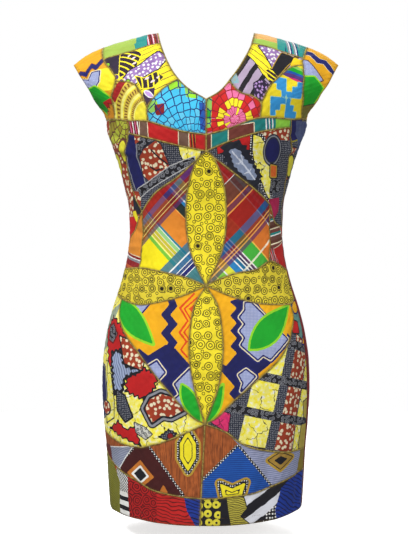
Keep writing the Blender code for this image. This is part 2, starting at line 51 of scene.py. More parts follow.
# Driving sizes of the dress
UNDERARM = -150.0          # height of the underarm level
CHEST_RISE = 150.0         # from the underarm level up to the shoulder line
MEAN_RADIUS = 150.0        # one radian of turn, laid flat
CHEST_LAY = 0.84           # height of a print above the underarm, for each millimetre of rise
CLOTH = 1.0                # thickness of the cloth
SEAM_DIP = 0.35            # how far the cloth sinks where it is sewn
PUCKER = 0.95              # height of the ripples beside a seam
PUCKER_REACH = 14.0        # how far from the seam they die away
PUCKER_START = 2.5         # the seam itself lies still
CREASE_ENDS = 0.75         # share of its height that a crease loses towards its ends
EDGE_STEP = 3.0            # mesh spacing along a seam
FRONT_STEP = 2.7           # mesh spacing inside a front panel
BACK_STEP = 6.0            # mesh spacing inside a back panel
ROW_SHARE = 0.87           # spacing of the mesh's rows, as a share of the spacing in a row
EDGE_ROOM = 0.55           # room between the rows and the edge, as a share of it too
SHARP = 50                 # a mesh edge bent more than this is sharp, in degrees

# Finish of the cloth, and the painted shade beside its seams
WANDER = 1.6               # how far the edge of a printed shape strays
WANDER_SIZE = 5.0          # how long its strays are
FADING = 0.55              # strength of the faded places
SEAM_SHADE = 0.6           # strength of the painted shade at a seam, a darker colour mixed into the print
SEAM_SHADE_FALL = 0.14     # how much of it each millimetre away from the seam takes off
# Colours of the painted seam shade, on the front panels and on the back ones
FRONT_SHADE, BACK_SHADE = (92, 76, 30), (50, 10, 12)
THREAD_PITCH = 0.85        # spacing of the weave's threads
THREAD_HEIGHT = 0.035
DENT_HEIGHT = 0.9          # small unevenness of pressed cloth

# The body of the dress: level, half width, depth in front, depth behind
GIRTHS = (
    (-880, 176, 112, 110), (-820, 180, 112, 115), (-760, 183, 112, 122),
    (-700, 188, 112, 128), (-640, 190.5, 112, 130), (-595, 189, 110, 128),
    (-545, 182, 106, 118), (-500, 171, 99, 104), (-450, 155, 92, 90),
    (-400, 143, 87, 81), (-360, 139, 86, 78), (-320, 141, 89, 79),
    (-280, 148, 95, 82), (-240, 158, 101, 85), (-200, 171, 107, 88),
    (-150, 183, 110, 89), (-110, 213, 109, 89), (-75, 238, 107, 89),
    (-35, 254, 103, 88), (0, 266, 98, 86),
)

# The shoulder line: distance from the centre, height
SHOULDER_LINE = ((0, 3), (50, 2), (88, 0), (140, -12), (186, -26), (215, -39), (240, -57),
                 (270, -79))

# Where the front meets the back: level, turn on the left, turn on the right
SIDE_SEAM = ((-880, 92, 81), (-750, 92, 78), (-600, 92, 74), (-480, 92, 77), (-350, 92, 83),
             (-250, 92, 88), (-155, 91, 91))

# Fullness of the body: turn and level at each end, half width, height above the wall
FOLDS = (
    (24, -150, 24, -178, 46, 11), (-24, -150, -24, -178, 46, 11),
    (88, -168, 62, -214, 13, 4.5), (-88, -176, -60, -208, 12, 3.5),
    (86, -300, 60, -345, 16, -2.5), (-86, -310, -64, -350, 15, -2.5),
    (52, -560, 44, -880, 26, 3.5), (-60, -600, -50, -880, 24, 3.0),
    (118, -520, 112, -880, 28, 4.5), (-116, -560, -108, -880, 26, 4.0),
    (150, -600, 146, -880, 26, 3.5), (-150, -560, -148, -880, 28, 4.0),
    (120, -300, 150, -330, 16, -3.0), (-118, -310, -150, -335, 17, -3.0),
)

# Creases in the cloth, placed one by one: turn and level at each end, half width, height
CREASES = (
    (-82, -182, -52, -196, 5.0, -2.5), (-78, -204, -46, -224, 6.0, 2.2),
    (80, -176, 55, -190, 5.5, -2.7), (84, -212, 50, -232, 7.0, -2.0),
    (-70, -282, -40, -300, 8.0, -2.0), (74, -268, 42, -292, 7.0, -2.4),
    (-80, -352, -50, -362, 6.0, -2.7), (82, -338, 54, -352, 6.5, -2.5),
    (-84, -386, -58, -384, 5.0, 2.0), (78, -378, 48, -384, 5.5, 2.0),
    (-76, -420, -44, -404, 7.5, -1.9), (72, -426, 46, -412, 7.0, -1.7),
    (-18, -330, -8, -410, 9.0, -1.5), (15, -300, 20, -385, 10.0, -1.4),
    (-74, -500, -50, -560, 9.0, 1.7), (70, -520, 52, -585, 10.0, 1.9),
    (-66, -640, -60, -745, 12.0, -2.7), (62, -620, 60, -730, 13.0, -2.9),
    (-34, -690, -30, -868, 14.0, 2.7), (30, -660, 26, -866, 15.0, 3.1),
    (-8, -720, -6, -868, 16.0, -2.5), (68, -760, 66, -866, 10.0, -2.9),
    (-72, -780, -74, -868, 9.0, 2.5), (10, -560, 14, -640, 12.0, 1.4),
    (-46, -62, -38, -128, 8.0, 1.7), (44, -48, 37, -120, 8.5, -1.9),
    (-60, -40, -66, -98, 7.0, -2.0), (60, -36, 68, -100, 7.5, 2.2),
    (-98, -190, -128, -214, 7.0, -3.1), (100, -184, 132, -218, 8.0, -2.9),
    (-104, -268, -150, -290, 8.0, 2.7), (106, -262, 146, -284, 7.0, 2.5),
    (-100, -352, -146, -360, 7.0, -3.4), (102, -342, 150, -356, 7.5, -3.2),
    (-108, -396, -160, -388, 6.0, 2.7), (104, -384, 158, -392, 6.5, 3.1),
    (-112, -428, -152, -408, 8.0, -2.4), (110, -432, 150, -416, 8.5, -2.2),
    (-136, -60, -128, -138, 11.0, -2.9), (134, -52, 126, -142, 12.0, -3.1),
    (-160, -80, -163, -140, 9.0, 2.0), (162, -70, 165, -150, 10.0, 1.9),
    (-128, -640, -124, -868, 14.0, -3.7), (130, -620, 126, -868, 15.0, -4.1),
    (-164, -610, -162, -862, 13.0, -3.2), (168, -640, 164, -862, 12.0, -2.9),
    (-100, -700, -98, -868, 10.0, -2.7), (98, -720, 100, -868, 11.0, -3.1),
    (-140, -470, -136, -540, 11.0, 2.2), (142, -480, 138, -552, 12.0, 2.4),
)

# Seam corners: name, left across, left up, right across, right up
CORNERS = (
    ("yoke_outer", 182, -52, 172, -51), ("yoke_neck", 81, -25, 81, -25),
    ("sleeve_bend", 158, -93, 171, -63), ("sleeve_foot", 163, -158, 171, -156),
    ("cup_neck", 48, -93, 39, -97), ("cup_side", 99, -142, 92, -135),
    ("cup_foot", 97, -165, 90, -159), ("band_top", 135, -162, 150, -159),
    ("band_end", 136, -184, 150, -173), ("kite_top", 16, -232, 13, -228),
    ("kite_corner", 114, -322, 114, -310), ("kite_foot", 120, -422, 113, -410),
    ("heart_shoulder", 152, -478, 151, -487),
)

# Corners on the centre line: name, across, up
CENTRE_CORNERS = (
    ("vee", 0, -129), ("cup_centre", 0, -189), ("band_centre", 0, -217), ("star", 0, -451),
    ("heart_tip", -2, -691), ("skirt_centre", -9, -824), ("hem_centre", -11, -872),
)

# Corners on the side seam: name, left level, right level
SIDE_CORNERS = (
    ("underarm", -155, -155), ("strip_top", -391, -352), ("petal_side_top", -427, -428),
    ("petal_side_foot", -469, -478), ("hip_side", -714, -752), ("skirt_side", -751, -789),
    ("hem_side", -863, -863),
)

# Corners on the shoulder line: name, across
SHOULDER_CORNERS = (("neck_point", 88), ("shoulder", 184), ("sleeve_tip", 240))

# Corners of the back: name, across, up
BACK_CORNERS = (("back_vee", 0, -139), ("hem_back", 0, -868))

# Smooth seam lines through corners and, between them, points (across, up).
# The right side follows the left one where it has no row of its own.
LINES_LEFT = {
    "neckline": ("neck_point", "yoke_neck", (67, -62), "cup_neck", (27, -113), "vee"),
    "yoke seam": ("yoke_neck", (133, -39), "yoke_outer"),
    "sleeve seam": ("shoulder", "yoke_outer", (166, -75), "sleeve_bend", (166, -124),
                    "sleeve_foot"),
    "armhole": ("sleeve_tip", (230, -73), (210, -105), (190, -138), "underarm"),
    "bust arc": ("sleeve_bend", (127, -99), (110, -120), "cup_side"),
    "cup arc": ("cup_neck", (63, -102), (80, -117), "cup_side", "cup_foot"),
    "band top": ("cup_centre", (43, -182), "cup_foot", "band_top", "sleeve_foot", "underarm"),
    "band foot": ("band_centre", (46, -207), (97, -193), "band_end"),
    "princess seam": ("band_top", "band_end", (141, -239), (131, -287), "kite_corner"),
    "strip top": ("kite_corner", (126, -345), (137, -371), "strip_top"),
    "kite edge": ("kite_top", (51, -262), (92, -291), "kite_corner"),
    "kite side": ("kite_corner", (114, -378), "kite_foot"),
    "petal edge": ("band_centre", "kite_top", (29, -268), (35, -310), (34, -358), (25, -399),
                   "star"),
    "waist petal top": ("star", (32, -438), (62, -431), (92, -425), "kite_foot",
                        "petal_side_top"),
    "waist petal foot": ("star", (48, -471), (94, -483), (122, -486), "heart_shoulder",
                         "petal_side_foot"),
    "lower petal edge": ("star", (20, -485), (28, -530), (29, -575), (20, -631), "heart_tip"),
    "heart edge": ("heart_shoulder", (156, -502), (148, -532), (118, -572), (74, -626),
                   (27, -677), "heart_tip"),
    "hip foot": ("heart_tip", (43, -711), (92, -731), (137, -737), "hip_side"),
    "skirt foot": ("skirt_centre", (43, -821), (92, -812), (134, -793), "skirt_side"),
    "bust centre seam": ("vee", "cup_centre", "band_centre"),
    "skirt centre seam": ("heart_tip", "skirt_centre", "hem_centre"),
    "hem": ("hem_centre", (45, -872), (95, -870), (140, -866), "hem_side"),
}
LINES_RIGHT = {
    "neckline": ("neck_point", "yoke_neck", (63, -62), "cup_neck", (22, -116), "vee"),
    "sleeve seam": ("shoulder", "yoke_outer", "sleeve_bend", (170, -108), "sleeve_foot"),
    "bust arc": ("sleeve_bend", (150, -68), (130, -84), (109, -106), "cup_side"),
    "cup arc": ("cup_neck", (57, -117), (77, -123), "cup_side", "cup_foot"),
    "band top": ("cup_centre", (36, -179), "cup_foot", "band_top", "sleeve_foot", "underarm"),
    "band foot": ("band_centre", (41, -199), (85, -184), (122, -177), "band_end"),
    "princess seam": ("band_top", "band_end", (149, -212), (145, -256), (139, -301),
                      "strip_top"),
    "strip top": ("kite_corner", (124, -338), "strip_top"),
    "kite edge": ("kite_top", (60, -263), "kite_corner"),
    "kite side": ("kite_corner", (114, -363), "kite_foot"),
    "waist petal top": ("star", (24, -439), (56, -429), (88, -424), "kite_foot",
                        (131, -416), "petal_side_top"),
    "heart edge": ("heart_shoulder", (157, -510), (148, -546), (128, -583), (94, -613),
                   (51, -649), (20, -679), "heart_tip"),
    "hip foot": ("heart_tip", (36, -707), (60, -726), (92, -739), (140, -749), "hip_side"),
    "skirt foot": ("skirt_centre", (33, -822), (85, -816), (135, -801), "skirt_side"),
}
BACK_LINES = {
    "back neckline": ("neck_point", (74, -48), (48, -98), (22, -128), "back_vee"),
    "back armhole": ("sleeve_tip", (230, -73), (210, -105), (190, -138), "underarm"),
    "back hem": ("hem_side", (120, -866), "hem_back"),
}

# Panels of one side: name, corners in order round the panel
PANELS_LEFT = (
    ("yoke", "neck_point yoke_neck yoke_outer shoulder"),
    ("cap_sleeve", "shoulder yoke_outer sleeve_bend sleeve_foot underarm sleeve_tip"),
    ("bust_upper", "yoke_neck cup_neck cup_side sleeve_bend yoke_outer"),
    ("bust_side", "sleeve_bend cup_side cup_foot band_top sleeve_foot"),
    ("cup", "cup_neck vee cup_centre cup_foot cup_side"),
    ("under_bust_band", "cup_foot cup_centre band_centre band_end band_top"),
    ("bodice", "band_end band_centre kite_top kite_corner"),
    ("side_panel", "sleeve_foot band_top band_end kite_corner strip_top underarm"),
    ("kite", "kite_top star kite_foot kite_corner"),
    ("waist_strip", "kite_corner kite_foot petal_side_top strip_top"),
    ("waist_petal", "kite_foot star heart_shoulder petal_side_foot petal_side_top"),
    ("heart", "star heart_tip heart_shoulder"),
    ("hip", "heart_shoulder heart_tip hip_side petal_side_foot"),
    ("skirt_panel", "heart_tip skirt_centre skirt_side hip_side"),
    ("hem_band", "skirt_centre hem_centre hem_side skirt_side"),
)
PANELS_RIGHT = {
    "bodice": "band_end band_centre kite_top kite_corner strip_top",
    "side_panel": "sleeve_foot band_top band_end strip_top underarm",
}
BACK_PANEL = ("neck_point shoulder sleeve_tip underarm strip_top petal_side_top "
              "petal_side_foot hip_side skirt_side hem_side hem_back back_vee")


def smooth_table(rows, column):
    """Monotone cubic through the first column and the given column of a table."""
    xs = np.array([row[0] for row in rows], float)
    ys = np.array([row[column] for row in rows], float)
    steps = np.diff(xs)
    slopes = np.diff(ys) / steps
    product = slopes[1:] * slopes[:-1]
    total = slopes[1:] + slopes[:-1]
    middle = np.where(product > 0, 2 * product / np.where(total == 0, 1, total), 0)
    tangents = np.concatenate(([slopes[0]], middle, [slopes[-1]]))

    def value(x):
        x = np.clip(x, xs[0], xs[-1])
        i = np.clip(np.searchsorted(xs, x, side="right") - 1, 0, len(steps) - 1)
        t = (x - xs[i]) / steps[i]
        return (ys[i] * (1 + 2 * t) * (1 - t) ** 2 + ys[i + 1] * t * t * (3 - 2 * t)
                + steps[i] * t * (1 - t) * (tangents[i] * (1 - t) - tangents[i + 1] * t))

    return value


half_width = smooth_table(GIRTHS, 1)
front_depth = smooth_table(GIRTHS, 2)
back_depth = smooth_table(GIRTHS, 3)
shoulder_height = smooth_table(SHOULDER_LINE, 1)
side_turn = {-1: smooth_table(SIDE_SEAM, 1), 1: smooth_table(SIDE_SEAM, 2)}


# The wall of the dress

def level_at(rise):
    """Height in the girth table for a distance up the wall."""
    arched = UNDERARM + CHEST_RISE * np.sin(np.clip(rise / CHEST_RISE, 0, pi / 2))
    return np.where(rise < 0, UNDERARM + rise, arched)


def rise_at(level):
    """Distance up the wall for a height in the girth table."""
    if level < UNDERARM:
        return level - UNDERARM
    return CHEST_RISE * asin(min(1.0, (level - UNDERARM) / CHEST_RISE))


def bare_points(turn, rise):
    """The smooth wall, before its folds: turn in radians, negative on the left."""
    level = level_at(rise)
    across = half_width(level) * np.sin(turn)
    depth = np.where(np.cos(turn) > 0, front_depth(level), back_depth(level))
    angle = np.clip(rise / CHEST_RISE, 0, pi / 2)
    share = (level - UNDERARM) / CHEST_RISE
    arched = UNDERARM + share * (shoulder_height(np.abs(across)) - UNDERARM)
    height = np.where(rise < 0, level, arched)
    return np.stack((across, -depth * np.cos(turn) * np.cos(angle), height), axis=-1)


def outward(turn, rise):
    """Directions pointing out of the wall."""
    small = 0.002
    top = np.minimum(rise, CHEST_RISE * pi / 2 - 0.5)
    along = bare_points(turn + small, top) - bare_points(turn - small, top)
    up = bare_points(turn, top + 0.4) - bare_points(turn, top - 0.4)
    normal = np.cross(along, up)
    return normal / np.linalg.norm(normal, axis=-1, keepdims=True)


def raised(turn, rise, folds, ends=0.0):
    """How far folds lift the wall; ends is how much of each is lost towards its ends."""
    place = np.stack((turn * MEAN_RADIUS, rise), axis=-1)
    lift = np.zeros(len(place))
    for start_turn, start, end_turn, end, width, height in folds:
        foot = np.array((radians(start_turn) * MEAN_RADIUS, rise_at(start)))
        run = np.array((radians(end_turn) * MEAN_RADIUS, rise_at(end))) - foot
        share = np.clip((place - foot) @ run / (run @ run), 0, 1)
        away = np.linalg.norm(place - foot - share[:, None] * run, axis=1)
        lift += height * (1 - ends * (2 * share - 1) ** 2) * np.exp(-(away / width) ** 2)
    return lift


def wall_points(turn, rise, inside=0.0):
    """Points on the outer face of the cloth, or inside millimetres behind it."""
    lift = raised(turn, rise, FOLDS) + raised(turn, rise, CREASES, CREASE_ENDS) - inside
    return bare_points(turn, rise) + outward(turn, rise) * lift[:, None]


def laid_flat(turn, rise):
    """Where places of the wall lie on the flat print: across from the centre, and up."""
    level = level_at(rise)
    flattened = np.cos(np.clip(rise / CHEST_RISE, 0, pi / 2))
    part = turn[:, None] * (np.arange(32) + 0.5) / 32
    width = half_width(level)[:, None] * np.cos(part)
    depth = np.where(np.cos(part) > 0, front_depth(level)[:, None], back_depth(level)[:, None])
    depth = depth * flattened[:, None] * np.sin(part)
    across = np.sqrt(width ** 2 + depth ** 2).mean(axis=1) * turn
    up = np.where(rise < 0, UNDERARM + rise, UNDERARM + CHEST_LAY * rise)
    return np.stack((across, up), axis=-1)


# Seam lines

def flat_place(across, up, behind=False):
    """Turn and rise of the point that the front view shows at across and up."""
    if up > UNDERARM:
        share = (up - UNDERARM) / (float(shoulder_height(abs(across))) - UNDERARM)
        rise = CHEST_RISE * asin(min(1.0, share))
    else:
        rise = up - UNDERARM
    turn = asin(max(-1.0, min(1.0, across / float(half_width(float(level_at(rise)))))))
    if behind:
        turn = pi - turn
    return Vector((turn * MEAN_RADIUS, rise))


def side_place(side, level):
    """Flat place of the side seam at a level."""
    return Vector((radians(float(side_turn[side](level))) * MEAN_RADIUS, rise_at(level)))


def corner_places(side):
    """Flat places of all the corners of one side, as if it were the right side."""
    first = 1 if side < 0 else 3
    places = {row[0]: flat_place(row[first], row[first + 1]) for row in CORNERS}
    for name, across, up in CENTRE_CORNERS:
        places[name] = flat_place(side * across, up)
    for name, *levels in SIDE_CORNERS:
        places[name] = side_place(side, levels[0] if side < 0 else levels[1])
    for name, across in SHOULDER_CORNERS:
        places[name] = flat_place(across, 100)
    for name, across, up in BACK_CORNERS:
        places[name] = flat_place(across, up, behind=True)
    return places


def smooth_run(points):
    """Catmull-Rom curve through flat places, as one list of points for each stretch."""
    stretches = []
    ends = [points[0] * 2 - points[1]] + points + [points[-1] * 2 - points[-2]]
    for before, start, end, after in zip(ends, ends[1:], ends[2:], ends[3:]):
        count = max(1, ceil((end - start).length / EDGE_STEP))
        stretch = []
        for i in range(count):
            t = i / count
            stretch.append(0.5 * (2 * start + (end - before) * t
                                  + (2 * before - 5 * start + 4 * end - after) * t * t
                                  + (3 * start - before - 3 * end + after) * t ** 3))
        stretches.append(stretch)
    return stretches


def straight_run(start, end, places):
    """A straight line of flat places between two named corners."""
    count = max(1, ceil((places[end] - places[start]).length / EDGE_STEP))
    line = [(start, places[start])]
    line += [(None, places[start].lerp(places[end], i / count)) for i in range(1, count)]
    return line + [(end, places[end])]


def side_run(side):
    """The side seam, from the underarm to the hem."""
    column = 1 if side < 0 else 2
    line = []
    for start, end in zip(SIDE_CORNERS, SIDE_CORNERS[1:]):
        count = max(1, ceil((start[column] - end[column]) / EDGE_STEP))
        for i in range(count):
            level = start[column] + (end[column] - start[column]) * i / count
            line.append((None if i else start[0], side_place(side, level)))
    last = SIDE_CORNERS[-1]
    return line + [(last[0], side_place(side, last[column]))]


def carried_back(place):
    """The same point of the shoulder line, counted from the back panel."""
    return Vector((pi * MEAN_RADIUS - place.x, place.y))


def seam_lines(side):
    """Every line of one side by title: a list of (corner name or None, flat place)."""
    places = corner_places(side)
    tables = dict(LINES_LEFT)
    if side > 0:
        tables.update(LINES_RIGHT)
    on_shoulder = [name for name, across in SHOULDER_CORNERS]
    lines = {}
    for title, stops in list(tables.items()) + list(BACK_LINES.items()):
        behind = title in BACK_LINES
        points = []
        for stop in stops:
            if not isinstance(stop, str):
                points.append(flat_place(*stop, behind))
            elif behind and stop in on_shoulder:
                points.append(carried_back(places[stop]))
            else:
                points.append(places[stop])
        line = []
        for stop, stretch in zip(stops, smooth_run(points)):
            line.append((stop if isinstance(stop, str) else None, stretch[0]))
            line += [(None, place) for place in stretch[1:]]
        lines[title] = line + [(stops[-1], points[-1])]
    shoulder = []
    for start, end in zip(on_shoulder, on_shoulder[1:]):
        shoulder += straight_run(start, end, places)[:-1]
    lines["shoulder line"] = shoulder + [(on_shoulder[-1], places[on_shoulder[-1]])]
    lines["side seam"] = side_run(side)
    lines["centre back seam"] = straight_run("back_vee", "hem_back", places)
    return lines


def stretch_between(lines, start, end):
    """The part of a seam line from one corner to another, without its last point."""
    for line in lines.values():
        names = [name for name, place in line]
        if start in names and end in names:
            first, last = names.index(start), names.index(end)
            step = 1 if last > first else -1
            return [line[i][1] for i in range(first, last, step)]
    raise ValueError("no seam joins %s and %s" % (start, end))


def outline_of(lines, corners):
    """Flat outline of a panel, from the names of its corners."""
    names = corners.split()
    outline = []
    for start, end in zip(names, names[1:] + names[:1]):
        outline += stretch_between(lines, start, end)
    return outline


SEAMS = {side: seam_lines(side) for side in (-1, 1)}


def panel_outlines():
    """Every panel's flat outline, counted as on the right side: name -> (side, outline)."""
    outlines = {}
    for side, word in ((-1, "left"), (1, "right")):
        lines = SEAMS[side]
        for name, corners in PANELS_LEFT:
            if side > 0:
                corners = PANELS_RIGHT.get(name, corners)
            outlines["%s_%s" % (name, word)] = (side, outline_of(lines, corners))
        behind = {title: lines[title] for title in
                  list(BACK_LINES) + ["side seam", "centre back seam"]}
        behind["shoulder line"] = [(stop, carried_back(place))
                                   for stop, place in lines["shoulder line"]]
        outlines["back_" + word] = (side, outline_of(behind, BACK_PANEL))
    for name, title in (("petal_upper", "petal edge"), ("petal_lower", "lower petal edge")):
        left, right = ([Vector((side * place.x, place.y)) for stop, place in SEAMS[side][title]]
                       for side in (-1, 1))
        outlines[name] = (1, left + right[-2:0:-1])
    return outlines


# Shapes of a print, as distances from their outline

def patch_distance(places, corners):
    """Distance from the outline of a flat patch, negative inside it."""
    corners = np.array(corners, float)
    inside = np.zeros(len(places), bool)
    nearest = np.full(len(places), 1e6)
    for a, b in zip(corners, np.roll(corners, -1, axis=0)):
        run = b - a
        share = np.clip((places - a) @ run / max(run @ run, 1e-9), 0, 1)
        nearest = np.minimum(nearest, np.linalg.norm(places - a - share[:, None] * run, axis=1))
        crosses = (a[1] > places[:, 1]) != (b[1] > places[:, 1])
        if a[1] != b[1]:
            meeting = a[0] + run[0] * (places[:, 1] - a[1]) / run[1]
            inside ^= crosses & (places[:, 0] < meeting)
    return np.where(inside, -nearest, nearest)


def disc_distance(places, across, up, radius, squash=1.0):
    """Distance from the edge of a disc, or of an oval squashed in height."""
    reach = np.hypot(places[:, 0] - across, (places[:, 1] - up) / squash)
    return (reach - radius) * min(1.0, squash)


def shapes_distance(places, shapes):
    """Distance from the nearest of several patches (lists of corners) and discs (numbers)."""
    nearest = np.full(len(places), 1e3)
    for shape in shapes:
        if isinstance(shape[0], tuple):
            nearest = np.minimum(nearest, patch_distance(places, shape))
        else:
            nearest = np.minimum(nearest, disc_distance(places, *shape))
    return nearest


# Panels of cloth

def signed_area(points):
    """Area inside a flat outline, negative when it runs clockwise."""
    ahead = np.roll(points, -1, axis=0)
    return 0.5 * float(np.sum(points[:, 0] * ahead[:, 1] - ahead[:, 0] * points[:, 1]))


def inner_places(edge, step):
    """Rows of places inside an outline, every other row set half a step over."""
    low, high = edge.min(axis=0), edge.max(axis=0)
    rows = np.arange(int((high[1] - low[1]) / (step * ROW_SHARE)) + 1)
    columns = np.arange(int((high[0] - low[0]) / step) + 2)
    row, column = np.meshgrid(rows, columns, indexing="ij")
    places = np.stack((low[0] + (column - 0.5 * (row % 2)) * step,
                       low[1] + row * step * ROW_SHARE), axis=-1).reshape(-1, 2)
    return places[patch_distance(places, edge) < -EDGE_ROOM * step]


def pucker(flat, from_seam):
    """How far the cloth is drawn in beside its seams, in short uneven ripples.

    The waves' lengths are in millimetres of the flat place.
    """
    x, y = flat[:, 0], flat[:, 1]
    ripple = (np.sin(x / 2.3 + 1.7 * np.sin(y / 13.0)) * np.sin(y / 2.7 + 1.3 * np.sin(x / 11.0))
              + 0.8 * np.sin((x + y) / 5.1 + np.sin(y / 17.0)) * np.sin((x - y) / 6.3))
    fade = np.exp(-from_seam / PUCKER_REACH) - np.exp(-from_seam / PUCKER_START)
    return PUCKER * fade * ripple


def cloth_mesh(name, side, outline, step, layers):
    """A thin closed shell over a flat outline, with its print's distances on its points."""
    edge = np.array([(place.x, place.y) for place in outline])
    if signed_area(edge) < 0:
        edge = edge[::-1]
    places = [Vector(place) for place in np.concatenate((edge, inner_places(edge, step)))]
    rim = [(i, (i + 1) % len(edge)) for i in range(len(edge))]
    flat, _, faces, _, _, _ = delaunay_2d_cdt(places, rim, [], 1, 1e-5)
    flat = np.array(flat)
    faces = np.array(faces)
    if side < 0:
        faces = faces[:, ::-1]
    turn, rise = side * flat[:, 0] / MEAN_RADIUS, flat[:, 1]
    paths = np.concatenate((faces[:, (0, 1)], faces[:, (1, 2)], faces[:, (2, 0)]))
    known = set(map(tuple, paths))
    rim = np.array([path for path in map(tuple, paths) if path[::-1] not in known])
    dip = np.zeros(len(flat))
    dip[rim[:, 0]] = SEAM_DIP
    from_seam = np.abs(patch_distance(flat, edge))
    drawn = pucker(flat, from_seam)
    count = len(flat)
    points = np.concatenate((wall_points(turn, rise, dip + drawn),
                             wall_points(turn, rise, CLOTH + drawn)))
    walls = [(b, a, a + count, b + count) for a, b in rim]
    mesh = bpy.data.meshes.new(name)
    mesh.from_pydata((points * MM).tolist(), [],
                     faces.tolist() + (faces[:, ::-1] + count).tolist() + walls)
    mesh.polygons.foreach_set("material_index",
                              [0] * len(faces) + [1] * len(faces) + [0] * len(walls))
    print_place = laid_flat(turn, rise)
    corners = np.zeros(len(mesh.loops), np.int32)
    mesh.loops.foreach_get("vertex_index", corners)
    mesh.uv_layers.new(name="cloth").data.foreach_set(
        "uv", (print_place[corners % count] * MM).ravel())
    # The distance from the seam sets the puckers and the painted seam shade
    values = {"from_seam": from_seam}
    for number, layer in enumerate(layers):
        values["ink_%d" % number] = shapes_distance(print_place, layer[0])
    for key, distance in values.items():
        mesh.attributes.new(key, "FLOAT", "POINT").data.foreach_set(
            "value", np.tile(distance, 2))
    mesh.shade_smooth()
    mesh.set_sharp_from_angle(angle=radians(SHARP))
    size = print_place.max(axis=0) - print_place.min(axis=0)
    print_area, area = (triangles_area(place, faces) for place in
                        (np.pad(print_place, ((0, 0), (0, 1))), points[:count]))
    return mesh, size * MM * (area / print_area) ** 0.5, area * MM * MM


def triangles_area(places, faces):
    """Area of a mesh's triangles together."""
    one = places[faces[:, 1]] - places[faces[:, 0]]
    two = places[faces[:, 2]] - places[faces[:, 0]]
    return np.linalg.norm(np.cross(one, two), axis=1).sum() / 2


# Materials

class Wire:
    """One output of a material's nodes; arithmetic on it adds Math nodes."""

    def __init__(self, finish, socket):
        self.finish = finish
        self.socket = socket

    def beside(self, output=1):
        """Another output of the same node."""
        return Wire(self.finish, self.socket.node.outputs[output])

    def __add__(self, other):
        return self.finish.maths("ADD", self, other)

    def __radd__(self, other):
        return self.finish.maths("ADD", other, self)

    def __sub__(self, other):
        return self.finish.maths("SUBTRACT", self, other)

    def __rsub__(self, other):
        return self.finish.maths("SUBTRACT", other, self)

    def __mul__(self, other):
        return self.finish.maths("MULTIPLY", self, other)

    def __truediv__(self, other):
        return self.finish.maths("DIVIDE", self, other)


class Finish:
    """A material being written. Its places are millimetres where the cloth lies flat."""

    def __init__(self, name):
        self.material = bpy.data.materials.new(name)
        self.material.use_nodes = True
        self.tree = self.material.node_tree
        self.shader = self.tree.nodes["Principled BSDF"]
        flat = self.node("UVMap", {"uv_map": "cloth"})
        self.flat = self.node("VectorMath", {"operation": "SCALE"},
                              {0: flat, "Scale": 1 / MM})

    def shade(self, inputs):
        """Set the finished surface, by the names of the shader's inputs."""
        self.join(self.shader, inputs)

    def join(self, item, inputs):
        """Give a node's inputs their values or wires."""
        for key, value in inputs.items():
            if isinstance(value, Wire):
                self.tree.links.new(value.socket, item.inputs[key])
            else:
                item.inputs[key].default_value = value

    def node(self, kind, settings=None, inputs=None, output=0):
        """Any node: its type, settings, and the values or wires of its inputs."""
        item = self.tree.nodes.new("ShaderNode" + kind)
        for key, value in (settings or {}).items():
            if key == "stops":
                fill_ramp(item.color_ramp, value)
            elif key == "between":
                item.color_ramp.interpolation = value
            else:
                setattr(item, key, value)
        self.join(item, inputs or {})
        return Wire(self, item.outputs[output])

    def maths(self, operation, *values, clamp=False):
        """One step of arithmetic."""
        return self.node("Math", {"operation": operation, "use_clamp": clamp},
                         dict(enumerate(values)))

    def mix(self, share, first, second, way="MIX"):
        """Two colours mixed by a share from 0 to 1."""
        return self.node("Mix", {"data_type": "RGBA", "blend_type": way},
                         {0: share, 6: first, 7: second}, 2)

    def inside(self, distance, softness=0.35):
        """1 where a distance in millimetres is below nothing, 0 where it is above."""
        return self.maths("MULTIPLY_ADD", distance, -1 / softness, 0.5, clamp=True)

    def noise(self, size, detail=2.0, place=None, seed=0.0):
        """Soft noise from 0 to 1 with lumps of a size in millimetres."""
        return self.node("TexNoise", {"noise_dimensions": "4D"},
                         {"Vector": place or self.flat, "W": seed, "Scale": 1 / size,
                          "Detail": detail, "Roughness": 0.55})

    def cells(self, size, scatter, place=None, feature="F1", output=0):
        """Cells of a size in millimetres: distance from the middle or edge, or colour."""
        cells = self.node("TexVoronoi", {"voronoi_dimensions": "2D", "feature": feature},
                          {"Vector": place or self.flat, "Scale": 1 / size,
                           "Randomness": scatter}, output)
        return cells * size if output == 0 else cells

    def drift(self, amount, size):
        """The flat place, moved about softly as a hand-drawn line is."""
        wander = self.node("TexNoise", {"noise_dimensions": "2D"},
                           {"Vector": self.flat, "Scale": 1 / size, "Detail": 1.0}, output=1)
        middle = self.node("VectorMath", {"operation": "SUBTRACT"},
                           {0: wander, 1: (0.5, 0.5, 0.5)})
        moved = self.node("VectorMath", {"operation": "SCALE"},
                          {0: middle, "Scale": 2 * amount})
        return self.node("VectorMath", {"operation": "ADD"}, {0: self.flat, 1: moved})

    def along(self, angle, place=None):
        """Millimetres in a direction, in degrees from across."""
        way = (cos(radians(angle)), sin(radians(angle)), 0.0)
        return self.node("VectorMath", {"operation": "DOT_PRODUCT"},
                         {0: place or self.flat, 1: way}, 1)

    def round_place(self, across, up, reach):
        """Flat place bent round a centre: how far round, measured at reach, and how far out."""
        arm = self.node("VectorMath", {"operation": "SUBTRACT"},
                        {0: self.flat, 1: (across, up, 0.0)})
        far = self.node("VectorMath", {"operation": "LENGTH"}, {0: arm}, 1)
        x = self.node("SeparateXYZ", inputs={0: arm})
        y = x.beside()
        turn = self.maths("ARCTAN2", y, x) * reach
        return self.node("CombineXYZ", inputs={0: turn, 1: far}), far

    def ramp(self, place, stops, between="CONSTANT"):
        """A colour read from stops (place from 0 to 1, dye), in steps or blended."""
        return self.node("ValToRGB", {"stops": stops, "between": between}, {0: place})


